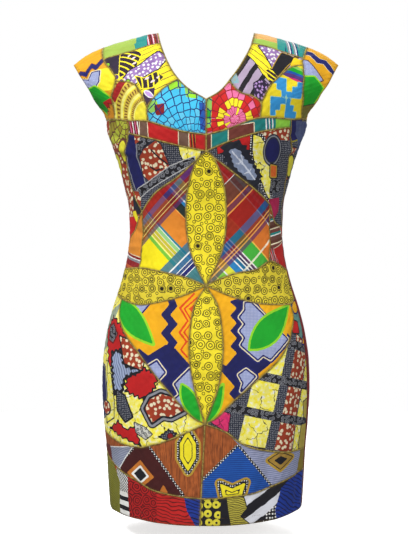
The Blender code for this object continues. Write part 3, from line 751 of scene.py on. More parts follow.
def fill_ramp(ramp, stops):
    """Set a ramp's stops: (place from 0 to 1, colour) in order."""
    while len(ramp.elements) > 1:
        ramp.elements.remove(ramp.elements[-1])
    for number, (place, colour) in enumerate(stops):
        stop = ramp.elements[0] if number == 0 else ramp.elements.new(place)
        stop.position = place
        stop.color = colour


def dye(red, green, blue, alpha=1.0):
    """A colour given as it looks on a screen, from 0 to 255."""
    parts = [part / 255 for part in (red, green, blue)]
    return tuple(part / 12.92 if part < 0.04045 else ((part + 0.055) / 1.055) ** 2.4
                 for part in parts) + (alpha,)


YELLOW = dye(246, 230, 40)
PALE_YELLOW = dye(250, 243, 130)
AMBER = dye(246, 182, 16)
ORANGE = dye(226, 138, 44)
GOLD = dye(186, 150, 52)
OLIVE = dye(150, 140, 40)
CREAM = dye(236, 224, 190)
WHITE = dye(240, 240, 236)
BLACK = dye(26, 25, 32)
INK = dye(40, 44, 60)
NAVY = dye(26, 30, 104)
BLUE = dye(26, 84, 172)
CYAN = dye(66, 192, 236)
TEAL = dye(24, 140, 136)
SEA = dye(120, 188, 160)
GREEN = dye(22, 168, 40)
LIME = dye(150, 220, 40)
LEAF = dye(140, 200, 90)
PALE_LAVENDER = dye(196, 204, 230)
LILAC = dye(188, 150, 214)
PURPLE = dye(86, 50, 120)
PINK = dye(232, 112, 160)
MAGENTA = dye(206, 40, 110)
RED = dye(206, 30, 30)
DARK_RED = dye(138, 24, 26)
MAROON = dye(84, 22, 24)
BROWN = dye(160, 88, 40)
DARK_BROWN = dye(96, 54, 40)
RUST = dye(178, 78, 36)
SLATE = dye(98, 112, 140)
GREY = dye(138, 140, 148)


# Prints: each returns a colour for a material being written

def shaded(cloth, colour, other, size=14.0):
    """Plain dye, clouded softly with another."""
    return cloth.mix(cloth.noise(size, 3.0), colour, other)


def stripes(cloth, angle, pitch, bands, wander=0.0, round_at=None):
    """Repeated stripes, across a direction or round a centre: (share where each starts, dye)."""
    place = cloth.drift(wander, 18.0) if wander else cloth.flat
    if round_at:
        run = cloth.round_place(*round_at, 1.0)[1]
        if wander:
            run = run + cloth.noise(16.0) * wander
    else:
        run = cloth.along(angle, place)
    return cloth.ramp(cloth.maths("FRACT", run / pitch), bands)


def hatched(cloth, pitch, round_at, dyes, stroke):
    """Bands round a centre, one in each pitch filled with short dark strokes."""
    place, far = cloth.round_place(*round_at, 30.0)
    bands = cloth.ramp(cloth.maths("FRACT", far / pitch), dyes)
    draw = cloth.node("SeparateXYZ", inputs={0: place})
    strokes = cloth.maths("FRACT", (draw + cloth.noise(3.0) * 1.6) / 3.2)
    row = cloth.maths("ABSOLUTE", cloth.maths("FRACT", far / pitch) - 0.62)
    here = cloth.inside(row - 0.2, 0.04) * cloth.inside(strokes - 0.45, 0.2)
    return cloth.mix(here, bands, stroke)


def pebbles(cloth, size, ground, pebble, speck):
    """Uneven pale pebbles on a ground with small dark specks."""
    place = cloth.drift(size * 0.22, size * 0.9)
    reach = cloth.cells(size, 0.85, place)
    tone = cloth.mix(cloth.noise(size * 1.6), ground, speck)
    return cloth.mix(cloth.inside(reach - size * 0.3, 0.8), tone, pebble)


def cobbles(cloth, round_at, stones, others, joint, row=11.5):
    """Rows of cobbles bent round a centre, on dark joints; dyes by row, from the centre out."""
    place, far = cloth.round_place(*round_at)
    edge = cloth.cells(row, 0.36, place, "DISTANCE_TO_EDGE")
    pick = cloth.node("SeparateXYZ", inputs={0: cloth.cells(row, 0.36, place, output=1)})
    middle = cloth.node("SeparateXYZ", inputs={0: cloth.cells(row, 0.36, place, output=2)})
    out = middle.beside() / (row * len(stones))
    rows = [cloth.ramp(out, [(i / len(stones), colour) for i, colour in enumerate(dyes)])
            for dyes in (stones, others)]
    tone = cloth.mix(cloth.maths("GREATER_THAN", pick, 0.7), *rows)
    return cloth.mix(cloth.inside(edge - 0.75, 0.35), tone, joint)


def speckle(cloth, pitch, ground, dot, scatter=0.3):
    """Small dots in nearly straight rows."""
    reach = cloth.cells(pitch, scatter)
    return cloth.mix(cloth.inside(reach - pitch * 0.27, 0.5), ground, dot)


def cracked(cloth, size, dyes, crack):
    """Clouded dye crossed by a few thin broken cracks."""
    ground = cloth.ramp(cloth.noise(7.0, 3.0), ((0.36, dyes[0]), (0.55, dyes[1]),
                                                (0.66, dyes[2])), "EASE")
    edge = cloth.cells(size, 1.0, cloth.drift(4.0, 9.0), "DISTANCE_TO_EDGE")
    broken = cloth.inside(0.44 - cloth.noise(26.0, 1.0), 0.05)
    return cloth.mix(cloth.inside(edge - 0.55, 0.4) * broken, ground, crack)


def circles(cloth, size, ground, line):
    """Large and small circles with rings inside them, and a few solid dots."""
    wide = cloth.cells(size, 0.5)
    draw = cloth.node("SeparateXYZ", inputs={0: cloth.cells(size, 0.5, output=1)})
    pick = draw.beside()
    radius = draw * size * 0.11 + size * 0.31
    rim = cloth.inside(cloth.maths("ABSOLUTE", wide - radius) - 0.68)
    second = cloth.inside(cloth.maths("ABSOLUTE", wide - radius + 2.2) - 0.42)
    inner = cloth.inside(cloth.maths("ABSOLUTE", wide - radius * 0.42) - 0.72)
    solid = cloth.inside(wide - 2.9) * cloth.maths("GREATER_THAN", pick, 0.86)
    rings = cloth.maths("MAXIMUM", cloth.maths("MAXIMUM", rim, inner),
                        second * cloth.maths("GREATER_THAN", pick, 0.6))
    small = size * 0.66
    near = cloth.cells(small, 0.7)
    between = cloth.inside(cloth.maths("ABSOLUTE", near - small * 0.2) - 0.55)
    clear = cloth.inside(radius + 1.2 - wide)
    dark = cloth.maths("MAXIMUM", cloth.maths("MAXIMUM", rings, solid), between * clear)
    return cloth.mix(dark, ground, line)


def eyelets(cloth, size, ground, ring):
    """Thick rings close together on a dark ground."""
    reach = cloth.cells(size, 0.45)
    rim = cloth.inside(cloth.maths("ABSOLUTE", reach - size * 0.3) - size * 0.16)
    return cloth.mix(rim, ground, ring)


def scrolls(cloth, size, ground, line):
    """Small curls close together on a dark ground."""
    reach = cloth.cells(size, 0.8, cloth.drift(1.2, 4.0))
    curl = cloth.inside(cloth.maths("ABSOLUTE", reach - size * 0.33) - 0.55, 0.5)
    heart = cloth.inside(reach - size * 0.12, 0.5)
    return cloth.mix(cloth.maths("MAXIMUM", curl, heart), ground, line)


def grain(cloth, dark, light):
    """Long thin upright streaks, as of wood."""
    long = cloth.node("VectorMath", {"operation": "MULTIPLY"},
                      {0: cloth.drift(1.5, 22.0), 1: (1.0, 0.04, 1.0)})
    return cloth.ramp(cloth.noise(1.7, 2.0, long), ((0.36, dark), (0.62, light)), "LINEAR")


def ribs(cloth, angle, pitch, dark, light, sway=3.0):
    """Drawn ribs that sway a little."""
    run = cloth.along(angle, cloth.drift(sway, 26.0))
    wave = cloth.maths("PINGPONG", run, pitch / 2) / (pitch / 2)
    return cloth.ramp(wave, ((0.1, dark), (0.42, light)), "EASE")


def whorls(cloth, size, dark, light):
    """Rings filling cells, edge to edge."""
    reach = cloth.cells(size, 0.45, cloth.drift(1.0, 8.0))
    wave = cloth.maths("PINGPONG", reach, 2.1) / 2.1
    return cloth.ramp(wave, ((0.25, dark), (0.6, light)), "EASE")


def madras(cloth, low, high, rising, falling):
    """Two sets of stripes at 45 degrees; each row is (place, dye), alpha its strength."""
    across, ahead = (cloth.along(way) * 2 ** 0.5 for way in (45.0, 135.0))
    span = high - low
    first = [((place - low) / span, colour) for place, colour in falling]
    second = [((place - low) / span, colour) for place, colour in rising]
    down = cloth.ramp((across - low) / span, first)
    up = cloth.ramp((ahead - low) / span, second)
    return cloth.mix(up.beside(), down, up)


def squares(cloth):
    """The right hip: rows of cracked and pebbled squares between bands of scrolls."""
    run, rise = cloth.along(-14.0), cloth.along(76.0)
    column = cloth.maths("FRACT", (run - 230.0) / 111.0)
    yellow = cracked(cloth, 30.0, (YELLOW, PALE_YELLOW, WHITE), BLACK)
    rusty = pebbles(cloth, 9.0, RUST, CREAM, DARK_RED)
    dotted = speckle(cloth, 3.4, INK, GREY)
    first = cloth.mix(cloth.maths("LESS_THAN", column, 0.46), dotted, yellow)
    apart = cloth.maths("ABSOLUTE", column - 0.8)
    here = cloth.maths("LESS_THAN", apart, 0.175) * cloth.maths("GREATER_THAN", run, 240.0)
    both = cloth.mix(here, first, rusty)
    row = cloth.maths("FRACT", (rise + 575.5) / 65.0)
    return cloth.mix(cloth.maths("LESS_THAN", row, 0.24), both,
                     scrolls(cloth, 8.0, BLACK, GREY))


def paint(cloth, fill):
    """A fill: a dye, or a print with its sizes and dyes."""
    return fill[0](cloth, *fill[1:]) if callable(fill[0]) else fill


def printed(name, ground, layers, shade):
    """A panel's cloth: its ground, the prints laid on it, fading, painted seam shade and weave.
    """
    cloth = Finish(name)
    colour = paint(cloth, ground)
    wobble = (cloth.noise(WANDER_SIZE, 2.0) - 0.5) * WANDER
    for number, (shapes, fill, *edges) in enumerate(layers):
        reach = cloth.node("Attribute", {"attribute_name": "ink_%d" % number}, output=2)
        reach = reach + wobble
        for width, laid in sorted([(0.0, fill)] + edges, key=lambda row: -row[0]):
            colour = cloth.mix(cloth.inside(reach - width), colour, paint(cloth, laid))
    faded = cloth.ramp(cloth.noise(45.0, 3.0, seed=2.0),
                       ((0.3, dye(225, 222, 216)), (0.62, dye(255, 255, 255))), "EASE")
    colour = cloth.mix(FADING, colour, cloth.mix(1.0, colour, faded, "MULTIPLY"))
    # Painted shade: within a few millimetres of each seam the colour is mixed towards the shade
    # dye, darkest at the seam
    from_seam = cloth.node("Attribute", {"attribute_name": "from_seam"}, output=2)
    painted_shade = cloth.maths("MULTIPLY_ADD", from_seam, -SEAM_SHADE_FALL, SEAM_SHADE, clamp=True)
    colour = cloth.mix(painted_shade, colour, shade)
    finish_cloth(cloth, colour)
    return cloth.material


def finish_cloth(cloth, colour, roughness=0.74):
    """Weave, sheen and small unevenness of pressed cotton."""
    warp, weft = (cloth.maths("SINE", cloth.along(way) * (2 * pi / THREAD_PITCH))
                  for way in (0.0, 90.0))
    height = warp * weft * THREAD_HEIGHT + cloth.noise(13.0, 3.0, seed=5.0) * DENT_HEIGHT
    normal = cloth.node("Bump", inputs={"Height": height, "Strength": 0.6, "Distance": MM})
    matt = roughness - 0.06 + cloth.noise(6.0, 2.0, seed=8.0) * 0.12
    cloth.shade({"Base Color": colour, "Normal": normal, "Roughness": matt,
                 "Specular IOR Level": 0.3, "Sheen Weight": 0.03, "Sheen Roughness": 0.5})


def jagged(pitch, depth, *corners):
    """Corners of a patch whose edge is cut in uneven teeth."""
    edge = []
    for number, (a, b) in enumerate(zip(corners, corners[1:] + corners[:1])):
        run = Vector(b) - Vector(a)
        side = Vector((-run.y, run.x)).normalized() * depth
        teeth = max(1, round(run.length / pitch))
        for i in range(teeth):
            share = 0.75 + 0.5 * ((number * 3 + i * 5) % 4) / 3
            start = Vector(a) + run * (i / teeth)
            edge += [tuple(start), tuple(start + run * 0.62 / teeth + side * share)]
    return edge


def ribbon(width, *places):
    """Corners of a band of one width along a broken line."""
    run = [Vector(place) for place in places]
    ways = [(b - a).normalized() for a, b in zip(run, run[1:])]
    edges = ([], [])
    for place, before, after in zip(run, ways[:1] + ways, ways + ways[-1:]):
        middle = (before + after).normalized()
        side = Vector((-middle.y, middle.x)) * 0.5 * width / max(0.5, middle.dot(before))
        edges[0].append(tuple(place + side))
        edges[1].append(tuple(place - side))
    return edges[0] + edges[1][::-1]


def leaf(across, up, length, width, angle):
    """Corners of a plain pointed leaf."""
    edge = []
    for way in (1, -1):
        for i in range(10):
            share = (i if way > 0 else 10 - i) / 10
            side = way * 0.5 * width * sin(pi * share ** 0.85)
            forward = (share - 0.5) * length
            edge.append((across + forward * cos(radians(angle)) - side * sin(radians(angle)),
                         up + forward * sin(radians(angle)) + side * cos(radians(angle))))
    return edge


def pinwheel(across, up, unit):
    """Four blades of a pinwheel, each cut in steps."""
    steps = ((0.1, 0.1), (3.3, 0.1), (3.3, 3), (2.2, 3), (2.2, 2), (1.2, 2), (1.2, 1), (0.1, 1))
    turns = ((1, 0, 0, 1), (0, -1, 1, 0), (-1, 0, 0, -1), (0, 1, -1, 0))
    return [[(across + unit * (a * x + b * y), up + unit * (c * x + d * y)) for x, y in steps]
            for a, b, c, d in turns]


# Fills: a print with its sizes and dyes

RINGED = (circles, 18.6, dye(246, 226, 44), dye(26, 21, 10))
RINGED_WAIST = (circles, 17.2, dye(226, 206, 52), dye(28, 23, 11))
BEADED = (speckle, 4.2, BLACK, WHITE, 0.2)
SEA_GREEN = (shaded, TEAL, dye(50, 150, 140))
MARIGOLD = (shaded, AMBER, dye(236, 166, 12))
WOOD = (grain, dye(122, 62, 30), dye(182, 96, 44))
BACK_RIBS = (ribs, 0, 9.0, dye(86, 14, 18), dye(140, 24, 28), 2.0)
BEAD_EDGED = (YELLOW, (1.8, BLACK), (5.4, BEADED), (9.0, GOLD), (-6.0, BLACK), (-7.4, YELLOW))
PEBBLED = (pebbles, 9.6, RUST, CREAM, DARK_RED)
CRACKED = (cracked, 34.0, (YELLOW, PALE_YELLOW, WHITE), BLACK)
SPECKLED = (speckle, 3.4, INK, GREY)
SCROLLED = (scrolls, 8.0, BLACK, GREY)
CHECKED = (speckle, 2.6, dye(148, 158, 204), PALE_LAVENDER, 0.0)
NIGHT = (shaded, NAVY, dye(20, 22, 70))
SCARLET = (shaded, RED, dye(178, 22, 26))
SLATED = (shaded, SLATE, dye(160, 172, 200), 6.0)
LEAFY = (ribs, 20, 5.0, dye(74, 88, 124), dye(158, 172, 204), 5.0)
LILAC_MOTTLE = (pebbles, 7.0, LILAC, WHITE, PURPLE)
GOLD_BANDS = (hatched, 17.0, (-104, -158), ((0.0, PALE_YELLOW), (0.3, dye(214, 186, 70)),
                                            (0.9, YELLOW)), dye(120, 76, 24))
CUP_LEFT, CUP_RIGHT = (-22, -212, 74), (48, -162, 40)
LINED_LEFT = (stripes, 110, 10.0, ((0.0, YELLOW), (0.88, DARK_BROWN)), 1.5)
LINED_RIGHT = (stripes, 50, 10.0, ((0.0, YELLOW), (0.88, DARK_BROWN)), 1.5)
DARK_FAN = (stripes, 0, 10.0, ((0.0, dye(44, 26, 40)), (0.72, YELLOW)), 1.0, (-178, -118))

KITE_LEFT = (madras, -640.0, -180.0,
             ((-640, dye(14, 112, 128, 0.93)), (-400, WHITE), (-398, NAVY), (-390, WHITE),
              (-387, dye(20, 50, 124, 0.93)), (-380, WHITE), (-378, dye(12, 96, 150, 0.93)),
              (-366, WHITE), (-363, dye(14, 112, 138, 0.91)), (-342, dye(255, 255, 255, 0.0)),
              (-264, dye(92, 38, 92, 0.8)), (-254, dye(140, 10, 20, 0.9)),
              (-249, dye(240, 214, 130, 0.8)), (-247, dye(120, 16, 24, 0.85)),
              (-241, dye(240, 214, 130, 0.8)), (-239, dye(130, 20, 40, 0.8)),
              (-229, dye(66, 44, 120, 0.8)), (-216, dye(160, 8, 14, 0.95))),
             ((-640, dye(246, 228, 16)), (-476, dye(120, 196, 60)), (-466, PALE_YELLOW),
              (-463, dye(200, 190, 50)), (-456, CREAM), (-454, dye(200, 190, 50)),
              (-447, CREAM), (-445, dye(150, 206, 130)), (-436, WHITE), (-434, dye(40, 132, 150)),
              (-428, dye(226, 136, 40)), (-378, dye(232, 130, 40)), (-374, dye(250, 190, 90)),
              (-371, dye(30, 44, 40)), (-352, dye(40, 130, 190)), (-344, WHITE),
              (-341, dye(30, 140, 140)), (-330, WHITE), (-328, dye(150, 206, 90)),
              (-312, dye(246, 214, 80)), (-308, dye(160, 22, 26))))
KITE_RIGHT = (madras, -560.0, -150.0,
              ((-560, dye(255, 255, 255, 0.0)), (-496, dye(250, 246, 220, 0.8)),
               (-492, dye(255, 255, 255, 0.0)), (-458, dye(92, 40, 96, 0.78)),
               (-448, dye(244, 170, 80, 0.85)), (-446, dye(120, 20, 40, 0.8)),
               (-440, dye(244, 170, 80, 0.85)), (-438, dye(130, 24, 40, 0.8)),
               (-430, dye(14, 82, 146, 0.84)), (-412, dye(160, 6, 12, 0.95)),
               (-368, dye(246, 160, 70, 0.9)), (-365, dye(100, 36, 76, 0.88)),
               (-352, dye(246, 160, 70, 0.9)), (-349, dye(84, 44, 44, 0.88)),
               (-308, WHITE), (-306, dye(156, 8, 14, 0.94))),
              ((-560, LEAF), (-436, PALE_YELLOW), (-431, LEAF), (-420, PALE_YELLOW),
               (-416, dye(130, 200, 70)), (-398, WHITE), (-395, dye(220, 222, 60)),
               (-376, dye(40, 130, 190)), (-360, WHITE), (-357, dye(24, 110, 150)),
               (-349, WHITE), (-346, dye(30, 40, 80)), (-341, WHITE), (-338, dye(90, 60, 90)),
               (-332, WHITE), (-328, dye(70, 180, 60)), (-294, dye(250, 200, 80)),
               (-290, dye(222, 120, 40)), (-228, WHITE), (-225, dye(104, 60, 50)),
               (-213, dye(30, 130, 130)), (-206, dye(104, 60, 50))))
STRIP_LEFT = (madras, -620.0, -100.0,
              ((-620, dye(216, 130, 40, 0.0)),),
              ((-620, dye(216, 132, 42)), (-560, dye(222, 140, 46)), (-400, ORANGE)))
PLAID_RED = (stripes, 78, 34.0, ((0.0, dye(140, 30, 36)), (0.3, GREY), (0.42, WHITE),
                                 (0.48, DARK_RED), (0.6, CREAM), (0.65, dye(150, 40, 50)),
                                 (0.85, dye(190, 90, 50))))
PLAID_BROWN = (stripes, 100, 26.0, ((0.0, dye(112, 70, 60)), (0.28, WHITE), (0.36, TEAL),
                                    (0.5, dye(120, 66, 58)), (0.72, CREAM), (0.8, DARK_BROWN)))

# Prints by panel: the ground, then layers of (shapes, fill, borders). A shape is a list of
# corners, or a disc's (across, up, radius, squash). A border is (width outside the shape, dye);
# with a width below nothing it starts that far inside and fills the rest.
PRINTS = {
    "yoke_left": ((stripes, 16, 190.0, ((0.0, LEAF), (0.3, TEAL), (0.52, WHITE),
                                        (0.54, dye(150, 130, 110)), (0.64, MAROON)), 2.0), [
        ([[(-190, -50), (-124, -34), (-126, 60), (-200, 60)]],
         (shaded, dye(156, 196, 84), dye(160, 176, 70))),
        ([[(-124, -40), (-104, -34), (-108, -6), (-128, -12)]], SEA_GREEN),
        ([[(-104, -40), (-76, -24), (-84, 60), (-106, 60)]],
         (stripes, 6, 9.0, ((0.0, MAROON), (0.35, PINK), (0.5, WHITE), (0.62, DARK_RED)))),
    ]),
    "yoke_right": ((shaded, dye(156, 196, 84), dye(150, 180, 70)), [
        ([[(70, -8), (128, -10), (128, 80), (60, 80)]],
         (shaded, dye(214, 164, 90), dye(226, 172, 92))),
        ([[(126, -50), (190, -60), (200, 80), (128, 80)]], SEA_GREEN),
        ([[(140, -50), (166, -56), (168, 80), (142, 80)]],
         (stripes, 4, 11.0, ((0.0, GREY), (0.3, WHITE), (0.45, NAVY), (0.7, TEAL)))),
    ]),
    "cap_sleeve_left": ((shaded, dye(208, 152, 34), AMBER, 10.0), [
        ([[(-236, -96), (-196, -60), (-160, -66), (-158, -108), (-230, -110)]], YELLOW),
        ([ribbon(9.0, (-246, -64), (-230, -50), (-220, -62), (-206, -44), (-198, -54),
                 (-180, -34))], NAVY, (1.4, BROWN)),
        ([[(-230, -72), (-216, -80), (-206, -64), (-192, -66), (-196, -88), (-206, -98),
           (-224, -94)]], CHECKED, (2.2, NAVY), (4.0, CREAM)),
        ([[(-230, -100), (-206, -96), (-176, -124), (-172, -140), (-196, -150), (-224, -132)]],
         GREEN, (3.0, LIME)),
        ([[(-200, -128), (-176, -122), (-166, -140), (-186, -152)]], SCARLET),
        ([jagged(9.0, 6.0, (-200, -150), (-178, -134), (-164, -146), (-160, -176),
                 (-196, -176))], (shaded, AMBER, RUST, 6.0), (1.0, MAROON)),
        ([[(-196, -160), (-166, -154), (-160, -170), (-176, -190), (-200, -186)]],
         (stripes, 30, 12.0, ((0.0, PURPLE), (0.5, WHITE), (0.6, BROWN))), (1.5, BLACK)),
    ]),
    "cap_sleeve_right": ((shaded, dye(206, 148, 22), AMBER, 10.0), [
        ([ribbon(16.0, (168, -18), (188, -13), (202, -30), (214, -24), (228, -43),
                 (250, -52))], NAVY, (1.2, CREAM)),
        ([[(168, -44), (182, -42), (214, -80), (196, -96), (168, -92)]], CHECKED,
         (2.2, DARK_BROWN)),
        ([[(172, -84), (196, -78), (218, -96), (214, -132), (186, -140), (172, -116)]], GREEN,
         (3.2, LIME)),
        ([[(160, -128), (186, -136), (220, -128), (216, -170), (196, -200), (160, -190)]],
         (shaded, dye(60, 62, 40), OLIVE, 6.0), (1.5, BLACK)),
    ]),
    "bust_upper_left": (LINED_LEFT, [
        ([[(-180, -30), (-150, -30), (-146, -66), (-162, -92), (-190, -90)]],
         (shaded, dye(52, 34, 66), BLACK)),
        ([[(-152, -36), (-122, -36), (-114, -50), (-122, -72), (-140, -84), (-154, -90)]],
         DARK_FAN, (1.5, YELLOW)),
        ([[(-150, -98), (-136, -80), (-116, -72), (-84, -48), (-66, -62), (-84, -84),
           (-108, -94), (-134, -112)]], LILAC_MOTTLE, (2.2, BLACK)),
        ([[(-124, -92), (-108, -98), (-86, -88), (-74, -98), (-92, -114), (-112, -114)]],
         DARK_FAN, (1.5, YELLOW)),
        ([leaf(-136, -46, 12, 4, 40), leaf(-128, -54, 12, 4, 30), leaf(-126, -66, 11, 4, 20),
          leaf(-102, -98, 12, 4, 20), leaf(-92, -104, 12, 4, 20), leaf(-84, -98, 9, 4, 40)],
         dye(232, 214, 216)),
        ([[(-108, -118), (-88, -114), (-90, -146), (-112, -140)]], dye(54, 32, 70)),
        ([leaf(-98, -124, 20, 6, -30)], LILAC, (1.5, WHITE)),
        ([(-160, -88, 5), (-150, -97, 4), (-143, -112, 4)], PURPLE, (1.5, YELLOW)),
        ([(-176, -56, 4), (-138, -99, 3.5)], LIME, (1.5, BLACK)),
    ]),
    "bust_upper_right": ((stripes, 146, 20.0, ((0.0, BLACK), (0.42, dye(176, 158, 184))), 1.0), [
        ([[(50, -30), (68, -36), (60, -70), (40, -84)]], dye(40, 30, 34)),
        ([[(62, -18), (94, -20), (108, -56), (122, -84), (112, -104), (98, -90), (84, -68),
           (68, -52)]], LINED_RIGHT, (1.5, BLACK)),
        ([[(92, -32), (146, -34), (132, -60), (118, -80)]], LILAC_MOTTLE, (2.0, BLACK)),
        ([[(134, -38), (162, -44), (146, -64), (126, -92), (114, -84)]], BLACK, (1.5, GOLD)),
        ([[(104, -84), (114, -78), (126, -96), (112, -106)]],
         (stripes, 60, 7.0, ((0.0, dye(50, 26, 36)), (0.62, YELLOW)))),
        ([[(156, -44), (184, -46), (176, -64), (148, -68)]], (shaded, YELLOW, AMBER, 9.0)),
        ([[(82, -108), (98, -100), (112, -112), (104, -142), (82, -134)]],
         (pebbles, 6.0, dye(60, 38, 84), LILAC, BLACK), (1.5, BLACK)),
        ([[(40, -88), (50, -88), (58, -108), (44, -110)]], (shaded, GOLD, CYAN, 5.0)),
    ]),
    "bust_side_left": (GOLD_BANDS, [
        ([(-104, -158, 24)], (shaded, YELLOW, dye(250, 236, 80)), (2.0, PALE_YELLOW)),
        ([(-96, -160, 5)], PURPLE, (1.5, DARK_BROWN)),
        ([[(-176, -120), (-150, -92), (-138, -96), (-168, -132)]], (shaded, RED, MAROON, 6.0)),
    ]),
    "bust_side_right": ((shaded, YELLOW, dye(236, 206, 26), 12.0), [
        ([[(122, -84), (128, -56), (196, -50), (190, -106), (170, -98), (146, -90)]],
         (stripes, 0, 96.0, ((0.0, YELLOW), (0.37, CREAM), (0.4, MAGENTA), (0.47, PURPLE),
                             (0.55, BLUE), (0.6, GREEN), (0.68, LEAF), (0.74, YELLOW)),
          1.0, (150, -134))),
        (pinwheel(143, -125, 9.6), dye(50, 150, 216), (1.0, dye(150, 210, 200))),
    ]),
    "cup_left": ((cobbles, CUP_LEFT, (CYAN,), (dye(96, 200, 236),), NAVY), [
        ([[(-70, -100), (-44, -100), (-42, -116), (-64, -120)],
          [(-38, -112), (-16, -114), (-14, -132), (-34, -130)],
          [(-102, -136), (-84, -132), (-80, -148), (-98, -152)]],
         (cobbles, CUP_LEFT, (LEAF,), (LIME,), NAVY)),
        ([[(-88, -140), (-70, -138), (-70, -154), (-84, -156)]],
         (cobbles, CUP_LEFT, (MAROON,), (DARK_RED,), NAVY)),
        ([[(-12, -136), (4, -142), (4, -184), (-10, -180)]],
         (cobbles, CUP_LEFT, (BLUE,), (NAVY,), NAVY)),
    ]),
    "cup_right": ((cobbles, CUP_RIGHT, (PINK, PINK, YELLOW, RED, RED, YELLOW),
                   (dye(244, 150, 184), YELLOW, RED, PINK, PINK, LIME), DARK_RED), [
        ([[(-4, -126), (10, -132), (8, -176), (-4, -180)]],
         (cobbles, CUP_RIGHT, (LEAF,), (GREEN,), NAVY)),
        ([[(8, -112), (26, -104), (44, -94), (40, -106), (20, -118)]],
         (shaded, BLUE, PURPLE, 6.0), (1.5, GOLD)),
    ]),
    "under_bust_band_left": (SCARLET, [
        ([[(-160, -150), (-118, -160), (-118, -200), (-160, -200)]],
         (stripes, 8, 11.0, ((0.0, MAROON), (0.3, PINK), (0.45, DARK_RED), (0.8, WHITE)))),
        ([[(-117, -160), (-102, -164), (-100, -202), (-118, -198)],
          [(-46, -176), (-30, -176), (-30, -216), (-46, -212)]],
         (shaded, dye(128, 104, 88), DARK_BROWN), (1.4, CREAM)),
        ([[(-28, -180), (-18, -182), (-18, -216), (-28, -216)]],
         (stripes, 4, 5.0, ((0.0, MAROON), (0.5, GOLD), (0.7, RED)))),
    ]),
    "under_bust_band_right": ((shaded, TEAL, dye(16, 112, 110)), [
        ([[(0, -180), (8, -180), (8, -220), (0, -220)],
          [(38, -176), (80, -168), (80, -204), (38, -212)]],
         (shaded, dye(126, 66, 52), MAROON), (1.6, CREAM)),
        ([[(102, -160), (119, -158), (119, -196), (102, -198)]],
         (stripes, 6, 7.0, ((0.0, WHITE), (0.35, NAVY), (0.6, TEAL)))),
        ([[(124, -150), (158, -150), (158, -200), (124, -196)]], (shaded, LEAF, LIME)),
    ]),
    "bodice_left": (SPECKLED, [
        ([[(-128, -184), (-84, -192), (-86, -204), (-112, -222), (-130, -214)]], SCROLLED),
        ([[(-150, -170), (-128, -176), (-129, -226), (-118, -256), (-112, -276), (-136, -284),
           (-152, -240)]], NIGHT, (2.4, GREY), (4.0, INK)),
        ([[(-132, -176), (-114, -182), (-120, -198), (-130, -204)]], PEBBLED),
        ([[(-122, -226), (-112, -212), (-86, -198), (-78, -204), (-64, -244), (-72, -250),
           (-104, -268), (-116, -258)]], PEBBLED, (2.4, INK)),
        ([ribbon(3.0, (-98, -212), (-84, -226), (-66, -240)),
          ribbon(3.0, (-102, -242), (-90, -250), (-76, -246))], BLACK),
        ([[(-48, -200), (-8, -208), (-12, -236), (-36, -240), (-44, -222)]], CRACKED,
         (1.5, BLACK)),
        ([[(-132, -300), (-100, -280), (-60, -258), (-20, -236), (-20, -226), (-62, -242),
           (-110, -272), (-132, -282)]], SCROLLED, (1.4, dye(190, 190, 190))),
        ([[(-160, -284), (-132, -286), (-124, -300), (-126, -330), (-160, -330)]], PEBBLED),
    ]),
    "bodice_right": (SPECKLED, [
        ([[(66, -160), (160, -160), (160, -196), (128, -196), (84, -200)]], PEBBLED),
        ([[(16, -186), (78, -180), (82, -214), (78, -236), (62, -226), (44, -212), (20, -222)]],
         SCARLET, (1.5, BLACK)),
        ([[(80, -188), (94, -192), (107, -208), (116, -232), (121, -262), (120, -300),
           (108, -282), (96, -256), (86, -238), (80, -212)]], CRACKED, (1.5, BLACK),
         (6.0, BEADED)),
        ([jagged(11.0, 6.0, (30, -206), (44, -202), (60, -206), (74, -222), (82, -240),
                 (96, -254), (94, -272), (84, -284), (70, -270), (56, -262), (44, -246),
                 (34, -226))], dye(30, 32, 44), (0.8, BLACK)),
        ([jagged(9.0, 3.0, (41, -214), (54, -214), (66, -230), (82, -244), (90, -262),
                 (80, -266), (62, -254), (48, -238))], SLATED),
        ([ribbon(2.8, (43, -216), (64, -238), (88, -266)), ribbon(2.4, (60, -222), (64, -238)),
          ribbon(2.4, (50, -238), (64, -238)), ribbon(2.4, (80, -246), (76, -252)),
          ribbon(2.4, (66, -256), (76, -252))], dye(206, 212, 226)),
        ([(121, -214, 15, 1.35)], NIGHT, (2.0, INK), (4.0, GREY), (6.0, INK)),
        ([[(120, -240), (132, -242), (133, -260), (121, -260)]], (shaded, ORANGE, RED, 4.0),
         (2.0, GOLD), (4.0, BLACK)),
        ([[(120, -268), (150, -264), (148, -286), (122, -290)]], SCROLLED),
        ([[(118, -300), (146, -296), (150, -320), (132, -340), (124, -330)]],
         (shaded, MAGENTA, DARK_RED)),
    ]),
    "side_panel_left": (PEBBLED, [
        ([[(-200, -160), (-150, -160), (-140, -182), (-152, -196), (-210, -200)]],
         (cobbles, (-150, -160, 20), (dye(176, 184, 56),), (OLIVE,), DARK_BROWN, 10.0),
         (2.0, OLIVE)),
        ([(-196, -238, 17, 1.2), (-160, -214, 9, 2.0)], (shaded, dye(190, 196, 60), YELLOW),
         (3.0, DARK_BROWN)),
        ([[(-230, -262), (-176, -264), (-178, -296), (-230, -300)]], (shaded, MAROON, RUST)),
        ([[(-146, -292), (-126, -300), (-122, -326), (-146, -328)]], (shaded, INK, BLACK)),
        ([[(-152, -322), (-140, -320), (-132, -336), (-142, -344), (-154, -340)]], YELLOW,
         (2.0, DARK_BROWN)),
        ([[(-230, -336), (-150, -330), (-136, -346), (-160, -374), (-230, -390)]], SCARLET),
    ]),
    "side_panel_right": (SPECKLED, [
        ([[(148, -160), (200, -156), (196, -188), (168, -196), (150, -190)]], NIGHT,
         (2.5, OLIVE)),
        ([[(176, -160), (230, -160), (220, -220), (184, -214)]], (shaded, SLATE, NAVY, 9.0)),
